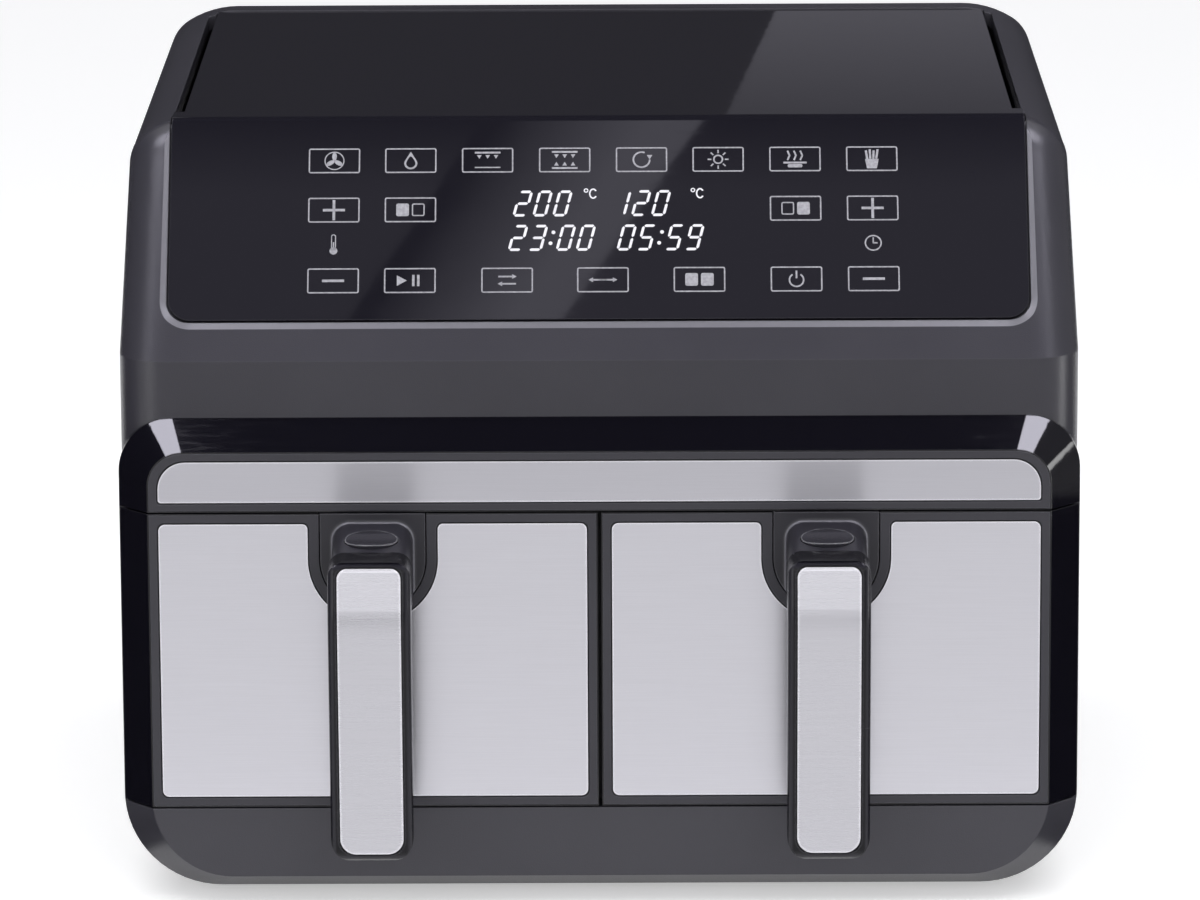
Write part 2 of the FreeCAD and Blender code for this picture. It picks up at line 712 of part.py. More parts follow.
def motor():
    top = MOTOR_LOW + MOTOR_H
    side = [(0, MOTOR_LOW, 0), (MOTOR_R, MOTOR_LOW, 2), (MOTOR_R, top, 5), (9, top, 0),
            (9, top + 5, 1.5), (0, top + 5, 0)]
    body = Part.Face(outline(side, xz(0))).revolve(V(0, 0, 0), V(0, 0, 1), 360)
    bore = rod(SHAFT_R + 0.05, V(0, 0, MOTOR_LOW - 1), V(0, 0, 16))
    return body.cut(bore).translated(V(CX, FAN_Y, 0))


def drawer_zone(inset, depth):
    return block(-WIDTH, -GAP_X - inset, -1, depth, DRAWER_LOW + inset, DRAWER_HIGH - inset)


def drawer_front():
    shape = front_block().common(drawer_zone(0, CHAMFER_D - SLIDE))
    pocket = prism(front_corners(EDGE), xz(-1), V(0, 1 + BEZEL_T, 0)).common(drawer_zone(EDGE, CHAMFER_D))
    half = PAN_HALF - 11.5
    rim = block(CX - half, CX + half, CHAMFER_D - SLIDE, PAN_FRONT, PAN_LOW + 5, PAN_HIGH - 2)
    return shape.fuse(rim).cut([pocket, shield_way(-5, DEPTH)])


def plate_blank(inset, depth):
    """Plate outline cut round the handle shield, with the corners of the cut-out rounded."""
    x0, x1 = -FRONT_HALF + PLATE_IN + inset, -GAP_X - PLATE_IN - inset
    z0, z1 = DRAWER_LOW + PLATE_IN + inset, DRAWER_HIGH - PLATE_IN - inset
    notch, r, turn = NOTCH_R + inset, PLATE_R, NOTCH_TURN - inset
    low, arc = SHIELD_Z - notch, notch * 0.999
    corners = [(x0, z0, r), (x1, z0, r), (x1, z1, r), (CX + notch, z1, turn), (CX + notch, low, arc),
               (CX - notch, low, arc), (CX - notch, z1, turn), (x0, z1, r)]
    return prism(corners, xz(0), V(0, depth, 0))


def front_bezel():
    inset = EDGE + SNUG
    shape = prism(front_corners(inset), xz(0), V(0, BEZEL_T, 0)).common(drawer_zone(inset, DEPTH))
    return shape.cut([plate_blank(-FIT, PLATE_T), shield_way(-5, DEPTH)])


def steel_plate():
    return eased(plate_blank(0, PLATE_T))


def pan():
    low = PAN_HALF - TAPER
    shape = tray(low, PAN_HALF, PAN_FRONT, PAN_BACK, PAN_LOW, PAN_HIGH, PAN_R)
    t = PAN_T
    front, back, high = PAN_FRONT + t, PAN_BACK - t, PAN_HALF - t
    inner = tray(low - t, high, front, back, PAN_LOW + t, PAN_HIGH + 0.01, PAN_R - t)
    return shape.cut([inner, shield_way(0, PAN_FRONT + 4)])


def basket():
    t, gap = SHEET, BASKET_GAP
    high, low = PAN_HALF - gap, BASKET_HALF
    front, back, radius, rim = BASKET_FRONT, PAN_BACK - gap - 1, PAN_R - gap, PAN_HIGH + t
    shape = tray(low, high, front, back, BASKET_LOW, PAN_HIGH, radius)
    flange = tray(PAN_HALF, PAN_HALF, PAN_FRONT, PAN_BACK + TAPER, PAN_HIGH, rim, PAN_R)
    flange = flange.common(block(-WIDTH, 0, 0, PAN_BACK, 0, HEIGHT))
    inner = tray(low - t, high - t, front + t, back - t, BASKET_LOW + t, rim + 0.01, radius - t)
    x0, x1 = CX - low + t + LEDGE, CX + low - t - LEDGE
    y0, y1 = front + t + LEDGE, back - TAPER - t - LEDGE
    floor = [(x0, y0, 10), (x1, y0, 10), (x1, y1, 10), (x0, y1, 10)]
    window = prism(floor, xy(BASKET_LOW - 1), V(0, 0, 5))
    shape = shape.fuse(flange).cut([inner, window, shield_way(0, front)])
    return shape.cut(handle_shanks())


def crisper_plate():
    """Loose plate on the basket's ledge, with five columns of air slots."""
    t, gap = SHEET, BASKET_GAP
    half = BASKET_HALF - t - FIT
    y0, y1 = BASKET_FRONT + t + FIT, PAN_BACK - gap - 1 - TAPER - t - FIT
    x0, x1, r = CX - half, CX + half, PAN_R - gap - t
    corners = [(x0, y0, r), (x1, y0, r), (x1, y1, r), (x0, y1, r)]
    plate = prism(corners, xy(BASKET_LOW + t), V(0, 0, 1.5))
    slots = []
    for col in range(-2, 3):
        for row in range(10):
            y = y0 + 20 + row * (y1 - y0 - 40) / 9
            slots.append(long_hole(CX + col * half * 0.36, y, half * 0.13, 2.5, xy(0), V(0, 0, HEIGHT)))
    return plate.cut(slots)


def handle_shanks():
    end = BASKET_FRONT + SHEET
    return [rod(2, V(CX, end - 13, SHIELD_Z + dz), V(0, 13, 0)) for dz in (-12, 2)]


def handle_screws():
    screws = []
    for shank in handle_shanks():
        at = shank.BoundBox.Center
        head = Part.makeCone(4, 2.6, 2, V(at.x, BASKET_FRONT + SHEET, at.z), V(0, 1, 0))
        screws.append(shank.fuse(head))
    return Part.makeCompound(screws)


def on_nose(shape):
    """Moves a shape built round the Z axis onto the sloped top of the nose."""
    turned = shape.copy()
    turned.rotate(V(0, 0, 0), V(1, 0, 0), math.degrees(NOSE_TILT))
    return turned.translated(V(CX, -BUTTON_AT, NOSE_Z - BUTTON_AT * math.tan(NOSE_TILT)))


def oval(grow, z0, z1):
    curve = Part.Ellipse(V(0, 0, z0), BUTTON_X + grow, BUTTON_Y + grow)
    return Part.Face(Part.Wire([curve.toShape()])).extrude(V(0, 0, z1 - z0))


def nose():
    """Carrier of the grip: it falls towards the front and is rounded along its top."""
    root_z, chin_z = NOSE_Z + 2 * math.tan(NOSE_TILT), NOSE_Z - NOSE_DROP - 8
    side = [(2, root_z, 0), (-NOSE_D, NOSE_END_Z, 0), (-NOSE_D, NOSE_Z - NOSE_DROP, 0),
            (-8, chin_z, 10), (2, chin_z, 0)]
    shape = prism(side, yz(CX - NOSE_HALF), V(2 * NOSE_HALF, 0, 0))
    upper = [e for e in shape.Edges if e.BoundBox.ZMin > NOSE_Z - 8]
    shape = shape.makeFillet(NOSE_R, [e for e in upper if e.BoundBox.XLength < 0.01])
    return shape.cut(block(-WIDTH, WIDTH, 0, 5, 0, HEIGHT))


def nose_root(shape):
    """Edges between the shield's face and the nose that stands on it."""
    edges = []
    for edge in shape.Edges:
        box = edge.BoundBox
        on_face = abs(box.YMin) < 0.01 and abs(box.YMax) < 0.01
        within = box.XMin > CX - NOSE_HALF - 0.1 and box.XMax < CX + NOSE_HALF + 0.1
        if on_face and within and box.Center.z > NOSE_Z - NOSE_DROP - 3:
            edges.append(edge)
    return edges


def handle_bracket():
    """Shield in the drawer front, its tail to the basket, and the nose that carries the grip."""
    plug = shield(SHIELD_R, 0, CHAMFER_D - 4, DRAWER_HIGH)
    tail = shield(SHIELD_R, CHAMFER_D - 4, BASKET_FRONT, PAN_HIGH)
    shape = plug.fuse(nose())
    shape = shape.makeFillet(ROOT_R, nose_root(shape)).fuse(tail)
    return shape.cut([on_nose(oval(SLIDE, -POCKET, 5))] + handle_shanks())


def grip_side():
    """Side view of the grip: flat top behind the nose, a bowed front and a hollow back."""
    low_y = GRIP_SET - REACH
    return [(-NOSE_D, GRIP_HIGH, 0), (3 - REACH, GRIP_HIGH, 4), (-REACH, GRIP_HIGH - 24.5, 60),
            (low_y, GRIP_LOW, 5), (low_y + GRIP_DEPTH, GRIP_LOW, 6), (-NOSE_D - 6.5, GRIP_HIGH - 28, 30),
            (-NOSE_D, NOSE_Z - NOSE_DROP, 0)]


def handle_face(half, low, high, foot_r, head_r):
    """Front view of grip or inlay, with its lower and upper corners rounded."""
    x0, x1 = CX - half, CX + half
    corners = [(x0, low, foot_r), (x1, low, foot_r), (x1, high, head_r), (x0, high, head_r)]
    return prism(corners, xz(-2 * REACH), V(0, 2 * REACH, 0))


def grip_blank(half):
    return prism(grip_side(), yz(CX - half), V(2 * half, 0, 0))


def inlay_strip(grow, depth):
    blank = grip_blank(GRIP_HALF)
    view = handle_face(INLAY_HALF + grow, INLAY_LOW - grow, INLAY_HIGH + grow, INLAY_FOOT_R, INLAY_HEAD_R)
    front = block(-WIDTH, 0, -2 * REACH, 13 - REACH, 0, HEIGHT)
    return blank.common(view).cut(blank.translated(V(0, depth, 0))).common(front)


def grip_rims(blank):
    """Long edges of the grip, all but the two that lie against the nose."""
    sides = [e for e in blank.Edges if e.BoundBox.XLength < 0.01]
    return [e for e in sides if e.BoundBox.YMin < -NOSE_D - 0.01]


def handle_grip():
    blank = grip_blank(GRIP_HALF)
    blank = blank.makeFillet(GRIP_R, grip_rims(blank))
    blank = blank.common(handle_face(GRIP_HALF, GRIP_LOW, GRIP_HIGH, GRIP_FOOT_R, GRIP_HEAD_R))
    return blank.cut(inlay_strip(0.5, INLAY_T))


def handle_inlay():
    return inlay_strip(0, INLAY_T)


def release_button():
    """Oval cap whose dished top rises towards the front."""
    cap = oval(0, -BUTTON_H, 2 * BUTTON_RISE)
    fall = BUTTON_RISE / (2 * BUTTON_Y)
    front, back = -2 * BUTTON_Y, 2 * BUTTON_Y
    over = [(front, (BUTTON_Y - front) * fall, 0), (back, (BUTTON_Y - back) * fall, 0),
            (back, 4 * BUTTON_RISE, 0), (front, 4 * BUTTON_RISE, 0)]
    cap = cap.cut(prism(over, yz(-2 * BUTTON_X), V(4 * BUTTON_X, 0, 0)))
    rim = [e for e in cap.Edges if e.BoundBox.ZMin > -BUTTON_H + 0.1 and e.BoundBox.XLength > 1]
    cap = cap.makeFillet(0.8, rim)
    dish = rod(DISH_R, V(-4 * BUTTON_X, 0.5, DISH_R + BUTTON_RISE / 2 - 1.0), V(8 * BUTTON_X, 0, 0))
    return on_nose(cap.cut(dish))


def button_spring():
    """Bowed leaf between the pocket floor and the button."""
    low, high, t = -POCKET, -BUTTON_H, 0.5
    edges = [Part.Arc(V(-3, -7, low), V(-3, 0, high), V(-3, 7, low)).toShape(),
             Part.makeLine(V(-3, 7, low), V(-3, 7 - t, low)),
             Part.Arc(V(-3, 7 - t, low), V(-3, 0, high - t), V(-3, t - 7, low)).toShape(),
             Part.makeLine(V(-3, t - 7, low), V(-3, -7, low))]
    return on_nose(Part.Face(Part.Wire(edges)).extrude(V(6, 0, 0)))


COMMON = [upper_casing, lower_casing, base_plate, rubber_feet, rear_cover, cord_gland, casing_screws,
          control_cover, display_module, control_board, power_board, visor_trim, band_frame, steel_band,
          front_frame, drawer_sensors]
SIDED = [chamber, heater, fan_guard, temperature_probe, motor, motor_bracket, motor_shaft, hot_fan,
         cooling_fan, pan, drawer_front, front_bezel, steel_plate, basket, crisper_plate, handle_bracket,
         handle_grip, handle_inlay, handle_screws, release_button, button_spring]


def save(name, shape):
    shape.translated(V(0, FRONT_Y, 0)).exportStep("parts/" + name + ".step")


for make in COMMON:
    save(make.__name__, make())
for make in SIDED:
    left, right = pair(make())
    save("left_" + make.__name__, left)
    save("right_" + make.__name__, right)
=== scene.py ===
# %% [markdown]
# This lesson dresses an air fryer with two drawers. Its solids come from the CAD part
# and stay where they are; here they get their finishes, the printed control panel, the
# lit display and merged copies of the leaf springs, and they are set up in a photo studio.
# All lengths are in metres, and the drawers look towards -Y.

# %% Load the imported part
import bmesh
import bpy
import math
from mathutils import Matrix, Vector


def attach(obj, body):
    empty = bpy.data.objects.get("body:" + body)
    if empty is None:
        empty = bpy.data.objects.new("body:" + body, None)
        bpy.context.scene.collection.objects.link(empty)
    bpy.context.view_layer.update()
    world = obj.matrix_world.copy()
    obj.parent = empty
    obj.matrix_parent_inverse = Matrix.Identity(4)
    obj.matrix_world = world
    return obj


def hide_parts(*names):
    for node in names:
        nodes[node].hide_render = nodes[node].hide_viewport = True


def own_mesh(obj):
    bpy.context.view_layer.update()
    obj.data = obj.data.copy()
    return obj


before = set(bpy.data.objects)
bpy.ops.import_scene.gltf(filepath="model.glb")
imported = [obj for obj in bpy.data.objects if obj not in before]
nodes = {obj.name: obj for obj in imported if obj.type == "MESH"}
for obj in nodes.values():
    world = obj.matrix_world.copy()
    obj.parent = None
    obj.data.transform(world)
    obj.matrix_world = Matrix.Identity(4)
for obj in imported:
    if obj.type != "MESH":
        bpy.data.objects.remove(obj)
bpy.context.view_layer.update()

# %% [markdown]
# A product photo is taken on a white sweep. The floor and the world are white for the
# camera and for mirror-like surfaces, which is what the Light Path node tells apart,
# while the light that falls on the object stays at a plain level. A little glow in the
# floor lifts it to white and leaves the soft contact shadow under the feet.

# %% Floor and world
scene = bpy.context.scene
scene.view_settings.view_transform = "Standard"
PLAIN_LIGHT, WHITE = (0.52, 0.52, 0.54, 1), (1, 1, 1, 1)
FLOOR_SIZE, FLOOR_GREY, FLOOR_GLOW = 14, (0.86, 0.86, 0.86, 1), 0.44


def shown_ways(tree):
    """1 for rays that show the surroundings: straight, mirrored or through glass."""
    path = tree.nodes.new("ShaderNodeLightPath")
    total = path.outputs["Is Camera Ray"]
    for name in ("Is Glossy Ray", "Is Transmission Ray"):
        most = tree.nodes.new("ShaderNodeMath")
        most.operation = "MAXIMUM"
        tree.links.new(total, most.inputs[0])
        tree.links.new(path.outputs[name], most.inputs[1])
        total = most.outputs[0]
    return total


world = bpy.data.worlds.new("studio_world")
scene.world = world
world.use_nodes = True
air = world.node_tree
air.nodes.clear()
fill = air.nodes.new("ShaderNodeBackground")
fill.inputs["Color"].default_value = PLAIN_LIGHT
white = air.nodes.new("ShaderNodeBackground")
white.inputs["Color"].default_value = WHITE
choose = air.nodes.new("ShaderNodeMixShader")
sky = air.nodes.new("ShaderNodeOutputWorld")
air.links.new(shown_ways(air), choose.inputs[0])
air.links.new(fill.outputs[0], choose.inputs[1])
air.links.new(white.outputs[0], choose.inputs[2])
air.links.new(choose.outputs[0], sky.inputs[0])

bpy.ops.object.select_all(action="DESELECT")
bpy.ops.mesh.primitive_plane_add(size=FLOOR_SIZE, location=(0, 0, 0))
floor = bpy.context.object
floor.name = "floor"
sweep = bpy.data.materials.new("white_sweep")
sweep.use_nodes = True
ground = sweep.node_tree.nodes["Principled BSDF"]
ground.inputs["Base Color"].default_value = FLOOR_GREY
ground.inputs["Roughness"].default_value = 0.9
ground.inputs["Specular IOR Level"].default_value = 0.0
glow = sweep.node_tree.nodes.new("ShaderNodeMath")
glow.operation = "MULTIPLY"
glow.inputs[1].default_value = FLOOR_GLOW
sweep.node_tree.links.new(shown_ways(sweep.node_tree), glow.inputs[0])
sweep.node_tree.links.new(glow.outputs[0], ground.inputs["Emission Strength"])
ground.inputs["Emission Color"].default_value = WHITE
floor.data.materials.append(sweep)
print("floor:", FLOOR_SIZE, "m wide, white for the camera and in mirrors")

# %% [markdown]
# Light and mirror images are kept apart, as a photographer does with lamps and cards. The
# lamps here only light the plastics: a pair over the shoulders, a pair far in front and
# one overhead, all hidden from mirrors.

# %% Lamps


def soft_box(name, place, aim, wide, high, power):
    lamp = bpy.data.lights.new(name, "AREA")
    lamp.shape = "RECTANGLE"
    lamp.size, lamp.size_y, lamp.energy = wide, high, power
    body = bpy.data.objects.new(name, lamp)
    scene.collection.objects.link(body)
    body.location = place
    body.rotation_euler = (Vector(aim) - Vector(place)).to_track_quat("-Z", "Y").to_euler()
    body.visible_glossy = False
    return body


for side in (-1, 1):
    soft_box("shoulder", (side * 0.62, -0.20, 1.35), (side * 0.25, -0.10, 0.2), 0.42, 0.9, 5.0)
    soft_box("front", (side * 0.8, -2.6, 1.1), (0, 0, 0.15), 1.2, 1.2, 8.4)
soft_box("overhead", (0, -0.9, 1.7), (0, -0.05, 0.25), 1.6, 0.8, 4.0)
print("lamps:", len(bpy.data.lights))

# %% [markdown]
# What the glossy parts show is set with cards that nothing but a mirror sees. Black ones
# keep the gloss deep, white ones over the shoulders draw the bright patches in the corners
# of the visor, and two with a slanting edge draw the faint diagonal glints across the
# cover. A card's shine can fade in along a line, so that a streak starts softly.

# %% Tools for cards
NEUTRAL = (1.0, 1.0, 1.0, 1)
COOL = (1.0, 0.98, 1.12, 1)
CARD_BLACK = (0.004, 0.004, 0.004, 1)


def card(name, corners, shine=0.0, fade=None, tint=NEUTRAL):
    """A card that only mirrors see; fade is where its shine ends and the way to full shine."""
    paint = bpy.data.materials.new(name)
    paint.use_nodes = True
    face = paint.node_tree.nodes["Principled BSDF"]
    face.inputs["Base Color"].default_value = CARD_BLACK
    face.inputs["Specular IOR Level"].default_value = 0.0
    face.inputs["Emission Color"].default_value = tint
    face.inputs["Emission Strength"].default_value = shine
    if fade:
        fade_out(paint.node_tree, face.inputs["Emission Strength"], shine, *fade)
    mesh = bpy.data.meshes.new(name)
    mesh.from_pydata(corners, [], [(0, 1, 2, 3)])
    mesh.materials.append(paint)
    body = bpy.data.objects.new(name, mesh)
    scene.collection.objects.link(body)
    body.visible_camera = body.visible_diffuse = False
    body.visible_transmission = body.visible_shadow = False
    return body


def fade_out(tree, socket, shine, end, way):
    """Lets a card's shine grow from nothing at end to full at end + way."""
    place = tree.nodes.new("ShaderNodeTexCoord")
    shift = tree.nodes.new("ShaderNodeVectorMath")
    shift.operation = "SUBTRACT"
    shift.inputs[1].default_value = end
    along = tree.nodes.new("ShaderNodeVectorMath")
    along.operation = "DOT_PRODUCT"
    along.inputs[1].default_value = Vector(way) / Vector(way).length_squared
    grow = tree.nodes.new("ShaderNodeMapRange")
    grow.inputs["To Max"].default_value = shine
    tree.links.new(place.outputs["Object"], shift.inputs[0])
    tree.links.new(shift.outputs["Vector"], along.inputs[0])
    tree.links.new(along.outputs["Value"], grow.inputs["Value"])
    tree.links.new(grow.outputs[0], socket)


def lying(x, y, z):
    """Corners of a level card, from its two ends in x and in y."""
    return [(x[0], y[0], z), (x[1], y[0], z), (x[1], y[1], z), (x[0], y[1], z)]


def standing(x, y, z):
    """Corners of an upright card, from the two ends of its foot and of its height."""
    return [(x[0], y[0], z[0]), (x[1], y[1], z[0]), (x[1], y[1], z[1]), (x[0], y[0], z[1])]


# %% [markdown]
# Most cards lie or stand square to the room. The cards over the shoulders lean, and the two
# glints are cut on a slant, so those are given by their corners. The side cards differ:
# only the right one shines, which leaves the left flank the darker one.

# %% Cards for the mirrors
CEILING, GROUND = 1.45, 0.002
card("card_slope", lying((-1.4, 1.4), (-1.6, -0.6), CEILING),
     0.37, ((0, -0.79, CEILING), (0, -0.05, 0)), COOL)
card("card_over", lying((-0.266, 0.266), (-0.6, 1.3), CEILING))
card("card_back", standing((-2.0, 2.0), (1.2, 1.2), (0.05, 1.5)), 0.035, None, COOL)
card("card_front", standing((-3.0, 3.0), (-6.8, -6.8), (0.1, 2.2)), 1.8)
card("card_ground", lying((-6.0, 6.0), (-6.9, -0.24), GROUND), 1.0, ((0, -2.4, 0), (0, 1.8, 0)))
for side in (-1, 1):
    wall, inner, outer = side * 0.9, side * 0.21, side * 1.03
    card("card_side", standing((wall, wall), (-0.35, 0.6), (0.0, 1.24)), 0.12 + side * 0.12)
    card("card_floor", lying((side * 0.2, side * 1.0), (-0.2, 0.4), GROUND))
    card("card_shoulder",
         [(inner, -0.30, 1.49), (outer, -0.51, 1.21), (outer, -0.10, 1.21), (inner, 0.11, 1.49)],
         11.0, None, COOL)
card("card_left", standing((-0.95, -0.72), (-0.72, -0.95), (0.0, 0.55)), 3.0)
card("card_right", standing((0.85, 0.85), (-0.30, -0.14), (0.0, 0.40)), 6.0)
card("glint_slope",
     [(0.077, -0.75, 1.44), (-0.075, -1.005, 1.44), (-0.205, -1.005, 1.44), (-0.053, -0.75, 1.44)],
     1.6, ((-0.1024, -0.851, 1.44), (0.0645, -0.0384, 0.0)), COOL)
card("glint_top",
     [(0.110, 1.19, 0.45), (0.041, 1.19, 0.597), (0.75, 1.19, 0.597), (0.75, 1.19, 0.45)],
     0.18, ((0, 1.19, 0.61), (0, 0, -0.135)), COOL)

# %% [markdown]
# The camera stands three metres away and looks down by 12.6 degrees through a long lens,
# so the upright edges stay nearly parallel, as they do in the photograph.

# %% Camera
TILT, ROLL, AWAY = math.radians(12.6), math.radians(-0.28), 3.025
TARGET = Vector((0.0, -0.0535, 0.167))
SIDESTEP = 0.004
lens = bpy.data.cameras.new("camera")
lens.sensor_width = 36.0
lens.lens = 217.4
lens.clip_end = 60.0
camera = bpy.data.objects.new("camera", lens)
scene.collection.objects.link(camera)
camera.location = TARGET + Vector((SIDESTEP, -math.cos(TILT), math.sin(TILT))) * AWAY
straight = (TARGET - camera.location).to_track_quat("-Z", "Y")
rolled = straight @ Matrix.Rotation(ROLL, 3, "Z").to_quaternion()
camera.rotation_euler = rolled.to_euler()
scene.camera = camera
print("camera:", [round(c, 3) for c in camera.location], "lens", lens.lens, "mm")

# %% [markdown]
# Finishes are built from shader nodes. Drawing node graphs by hand in code is long, so a
# small class holds one output socket and lets it take part in sums: 1 - mask makes a
# Math node, and add() makes any other node from its settings and its inputs.

# %% A socket that does arithmetic


class Wire:
    """One output of a material's nodes, used in expressions like a number."""

    def __init__(self, tree, socket):
        self.tree, self.socket = tree, socket

    def add(self, kind, settings=None, inputs=None, out=0):
        """Adds any node: its settings first, then values or links of its inputs."""
        node = self.tree.nodes.new("ShaderNode" + kind)
        for name, value in (settings or {}).items():
            setattr(node, name, value)
        for name, value in (inputs or {}).items():
            if isinstance(value, Wire):
                self.tree.links.new(value.socket, node.inputs[name])
            else:
                node.inputs[name].default_value = value
        return Wire(self.tree, node.outputs[out])

    def sums(self, operation, *values):
        return self.add("Math", {"operation": operation}, dict(enumerate(values)))

    def __add__(self, other):
        return self.sums("ADD", self, other)

    __radd__ = __add__

    def __sub__(self, other):
        return self.sums("SUBTRACT", self, other)

    def __rsub__(self, other):
        return self.sums("SUBTRACT", other, self)

    def __mul__(self, other):
        return self.sums("MULTIPLY", self, other)

    __rmul__ = __mul__

    def __abs__(self):
        return self.sums("ABSOLUTE", self)

    def __gt__(self, other):
        return self.sums("GREATER_THAN", self, other)

    def __lt__(self, other):
        return self.sums("LESS_THAN", self, other)

    def most(self, other):
        return self.sums("MAXIMUM", self, other)

    def least(self, other):
        return self.sums("MINIMUM", self, other)

    def dot(self, way):
        return self.add("VectorMath", {"operation": "DOT_PRODUCT"}, {0: self, 1: way}, out="Value")

    def along(self, origin, way):
        """How far this place lies from origin along a direction."""
        return self.add("VectorMath", {"operation": "SUBTRACT"}, {0: self, 1: origin}).dot(way)

    def spread(self, low, high):
        """0 at low and under, 1 at high and over, smooth between."""
        ends = {"Value": self, "From Min": low, "From Max": high}
        return self.add("MapRange", {"interpolation_type": "SMOOTHSTEP"}, ends)

    def blend(self, first, second):
        """Mixes two colours, the first where this wire is 0."""
        return self.add("Mix", {"data_type": "RGBA"}, {0: self, 6: first, 7: second}, out=2)

    def noise(self, scale, stretch=(1, 1, 1), detail=2.0, rough=0.5):
        """Cloudy noise on this wire's coordinates; stretch packs it along an axis."""
        place = self.add("Mapping", {}, {"Vector": self, "Scale": stretch})
        looks = {"Vector": place, "Scale": scale, "Detail": detail, "Roughness": rough}
        return self.add("TexNoise", {}, looks)


# %% [markdown]
# Every finish begins with a Principled shader and Object coordinates, and its greys are
# written as they are read off a screen, from 0 to 255. Edges are found with the Bevel node:
# where the rounded normal leaves the smooth one, there is an edge.

# %% Greys, materials and edges


def grey(level, cast=(0.0, -1.0, 6.0)):
    """A linear colour from an 8-bit grey level, slightly cool as this object's greys are."""
    colour = []
    for shift in cast:
        s = min(max(level + shift, 0.0), 255.0) / 255
        colour.append(s / 12.92 if s < 0.04 else ((s + 0.055) / 1.055) ** 2.4)
    return tuple(colour) + (1,)


def start(name):
    """A new material: its shader, and Object coordinates to build on."""
    material = bpy.data.materials.new(name)
    material.use_nodes = True
    tree = material.node_tree
    shader = tree.nodes["Principled BSDF"]
    place = tree.nodes.new("ShaderNodeTexCoord").outputs["Object"]
    return material, shader, Wire(tree, place)


def feed(shader, values):
    """Sets a shader's inputs to constants or links them to wires."""
    for name, value in values.items():
        if isinstance(value, Wire):
            value.tree.links.new(value.socket, shader.inputs[name])
        else:
            shader.inputs[name].default_value = value


def rounded(place, radius, full=0.25):
    """The normal with edges rounded by radius, and a mask of those edges, 1 from full on."""
    face = place.add("NewGeometry", {}, {}, out="True Normal")
    smooth = steady(place.add("NewGeometry", {}, {}, out="Normal"), face)
    soft = steady(place.add("Bevel", {"samples": 3}, {"Radius": radius}), face)
    return soft, (1 - soft.dot(smooth)).spread(0.08 * full, full)


def steady(normal, face):
    """A smooth normal, or the face's own where a thin triangle turned the smooth one inwards."""
    return normal.dot(face).spread(0.1, 0.3).blend(face, normal)


def bumped(soft, height, distance):
    """The normal roughened by a height, which is full at this distance in metres."""
    return soft.add("Bump", {}, {"Height": height, "Distance": distance, "Normal": soft})


def facing(place):
    """How far a face looks ahead: 1 on the front, 0 on a side, between them on a rounding."""
    return place.add("NewGeometry", {}, {}, out="Normal").dot((0, -1, 0))


# %% [markdown]
# The casing is a satin moulding: the steel mould was spark-eroded, which leaves a fine
# even grain and a soft sheen. Fine noise drives the bump, slow noise changes the sheen a
# little from place to place, and edges are smoother and get a painted highlight: their
# base colour is mixed towards a lighter grey.

# %% Moulded plastics


def moulded(name, level, sheen, grain, edge_radius, edge_highlight_level, specular=0.5, edge_highlight_share=0.5):
    """Grained plastic; its edges get a painted highlight, the edge highlight grey mixed in by the
    edge highlight share.
    """
    material, shader, place = start(name)
    soft, edge = rounded(place, edge_radius)
    fine = place.noise(2200, detail=1.0)
    slow = place.noise(14, detail=3.0)
    tone = slow.spread(0.3, 0.7).blend(grey(level * 0.97), grey(level * 1.03))
    # Painted highlight: the edges' base colour is mixed towards a lighter grey.
    tone = (edge * edge_highlight_share).blend(tone, grey(edge_highlight_level))
    feed(shader, {
        "Base Color": tone,
        "Roughness": sheen + 0.016 * (slow - 0.5) - 0.08 * edge,
        "Normal": bumped(soft, fine, grain),
        "Specular IOR Level": specular,
    })
    return material, shader, place, tone


# After the edge radius come the grey of the painted edge highlight, then specular and the
# highlight's share.
satin_lower = moulded("satin_lower", 60, 0.34, 0.00006, 0.0009, 92, 0.38)[0]
satin_bezel = moulded("satin_bezel", 52, 0.40, 0.00004, 0.0006, 112, 0.38, 0.7)[0]
matt_inner = moulded("matt_inner", 30, 0.55, 0.00008, 0.0006, 40)[0]
rubber = moulded("rubber", 24, 0.75, 0.0001, 0.0006, 34, 0.3)[0]
button_skin = moulded("button_skin", 44, 0.24, 0.00003, 0.0009, 225, 0.45, 0.95)[0]


def bracket_satin():
    """The handle's bracket: the hollow round the root of its nose gets a painted highlight, a
    lighter grey where the face half turns to the front.
    """
    looks = (38, 0.32, 0.00004, 0.0008, 128, 0.42, 0.7)
    material, shader, place, tone = moulded("satin_bracket", *looks)
    ahead = facing(place)
    # Painted highlight on the rounding where the face half turns to the front.
    root_highlight = ahead.spread(0.35, 0.60) * (1 - ahead.spread(0.80, 0.95))
    feed(shader, {"Base Color": root_highlight.blend(tone, grey(104))})
    return material


satin_bracket = bracket_satin()
MOULDED = (satin_lower, satin_bezel, satin_bracket, button_skin, matt_inner, rubber)
print("moulded:", [material.name for material in MOULDED])

# %% [markdown]
# Round the cover the casing has a bevelled lip, which gets a painted highlight: a lighter
# base colour than the grained face. It is part of the same moulding, so it gets a mask and no
# piece of its own: the distance from a rounded rectangle on the leaning face says how deep
# the bevel lies there, and only points at just that depth are on it.

# %% The casing's lip, with a painted highlight
SLOPE = math.radians(34)
UP_SLOPE = Vector((0, math.sin(SLOPE), math.cos(SLOPE)))
OUTWARD = Vector((0, -math.cos(SLOPE), math.sin(SLOPE)))
CREASE = Vector((0, 0.014 - 0.1535, 0.2234))
LIP_HALF, LIP_LOW, LIP_TOP, LIP_R = 0.1788, 0.0141, 0.1047, 0.0132
LIP_W, LIP_DEEP = 0.0034, 0.0012
LIP_START, LIP_SLACK = 0.00005, 0.00004


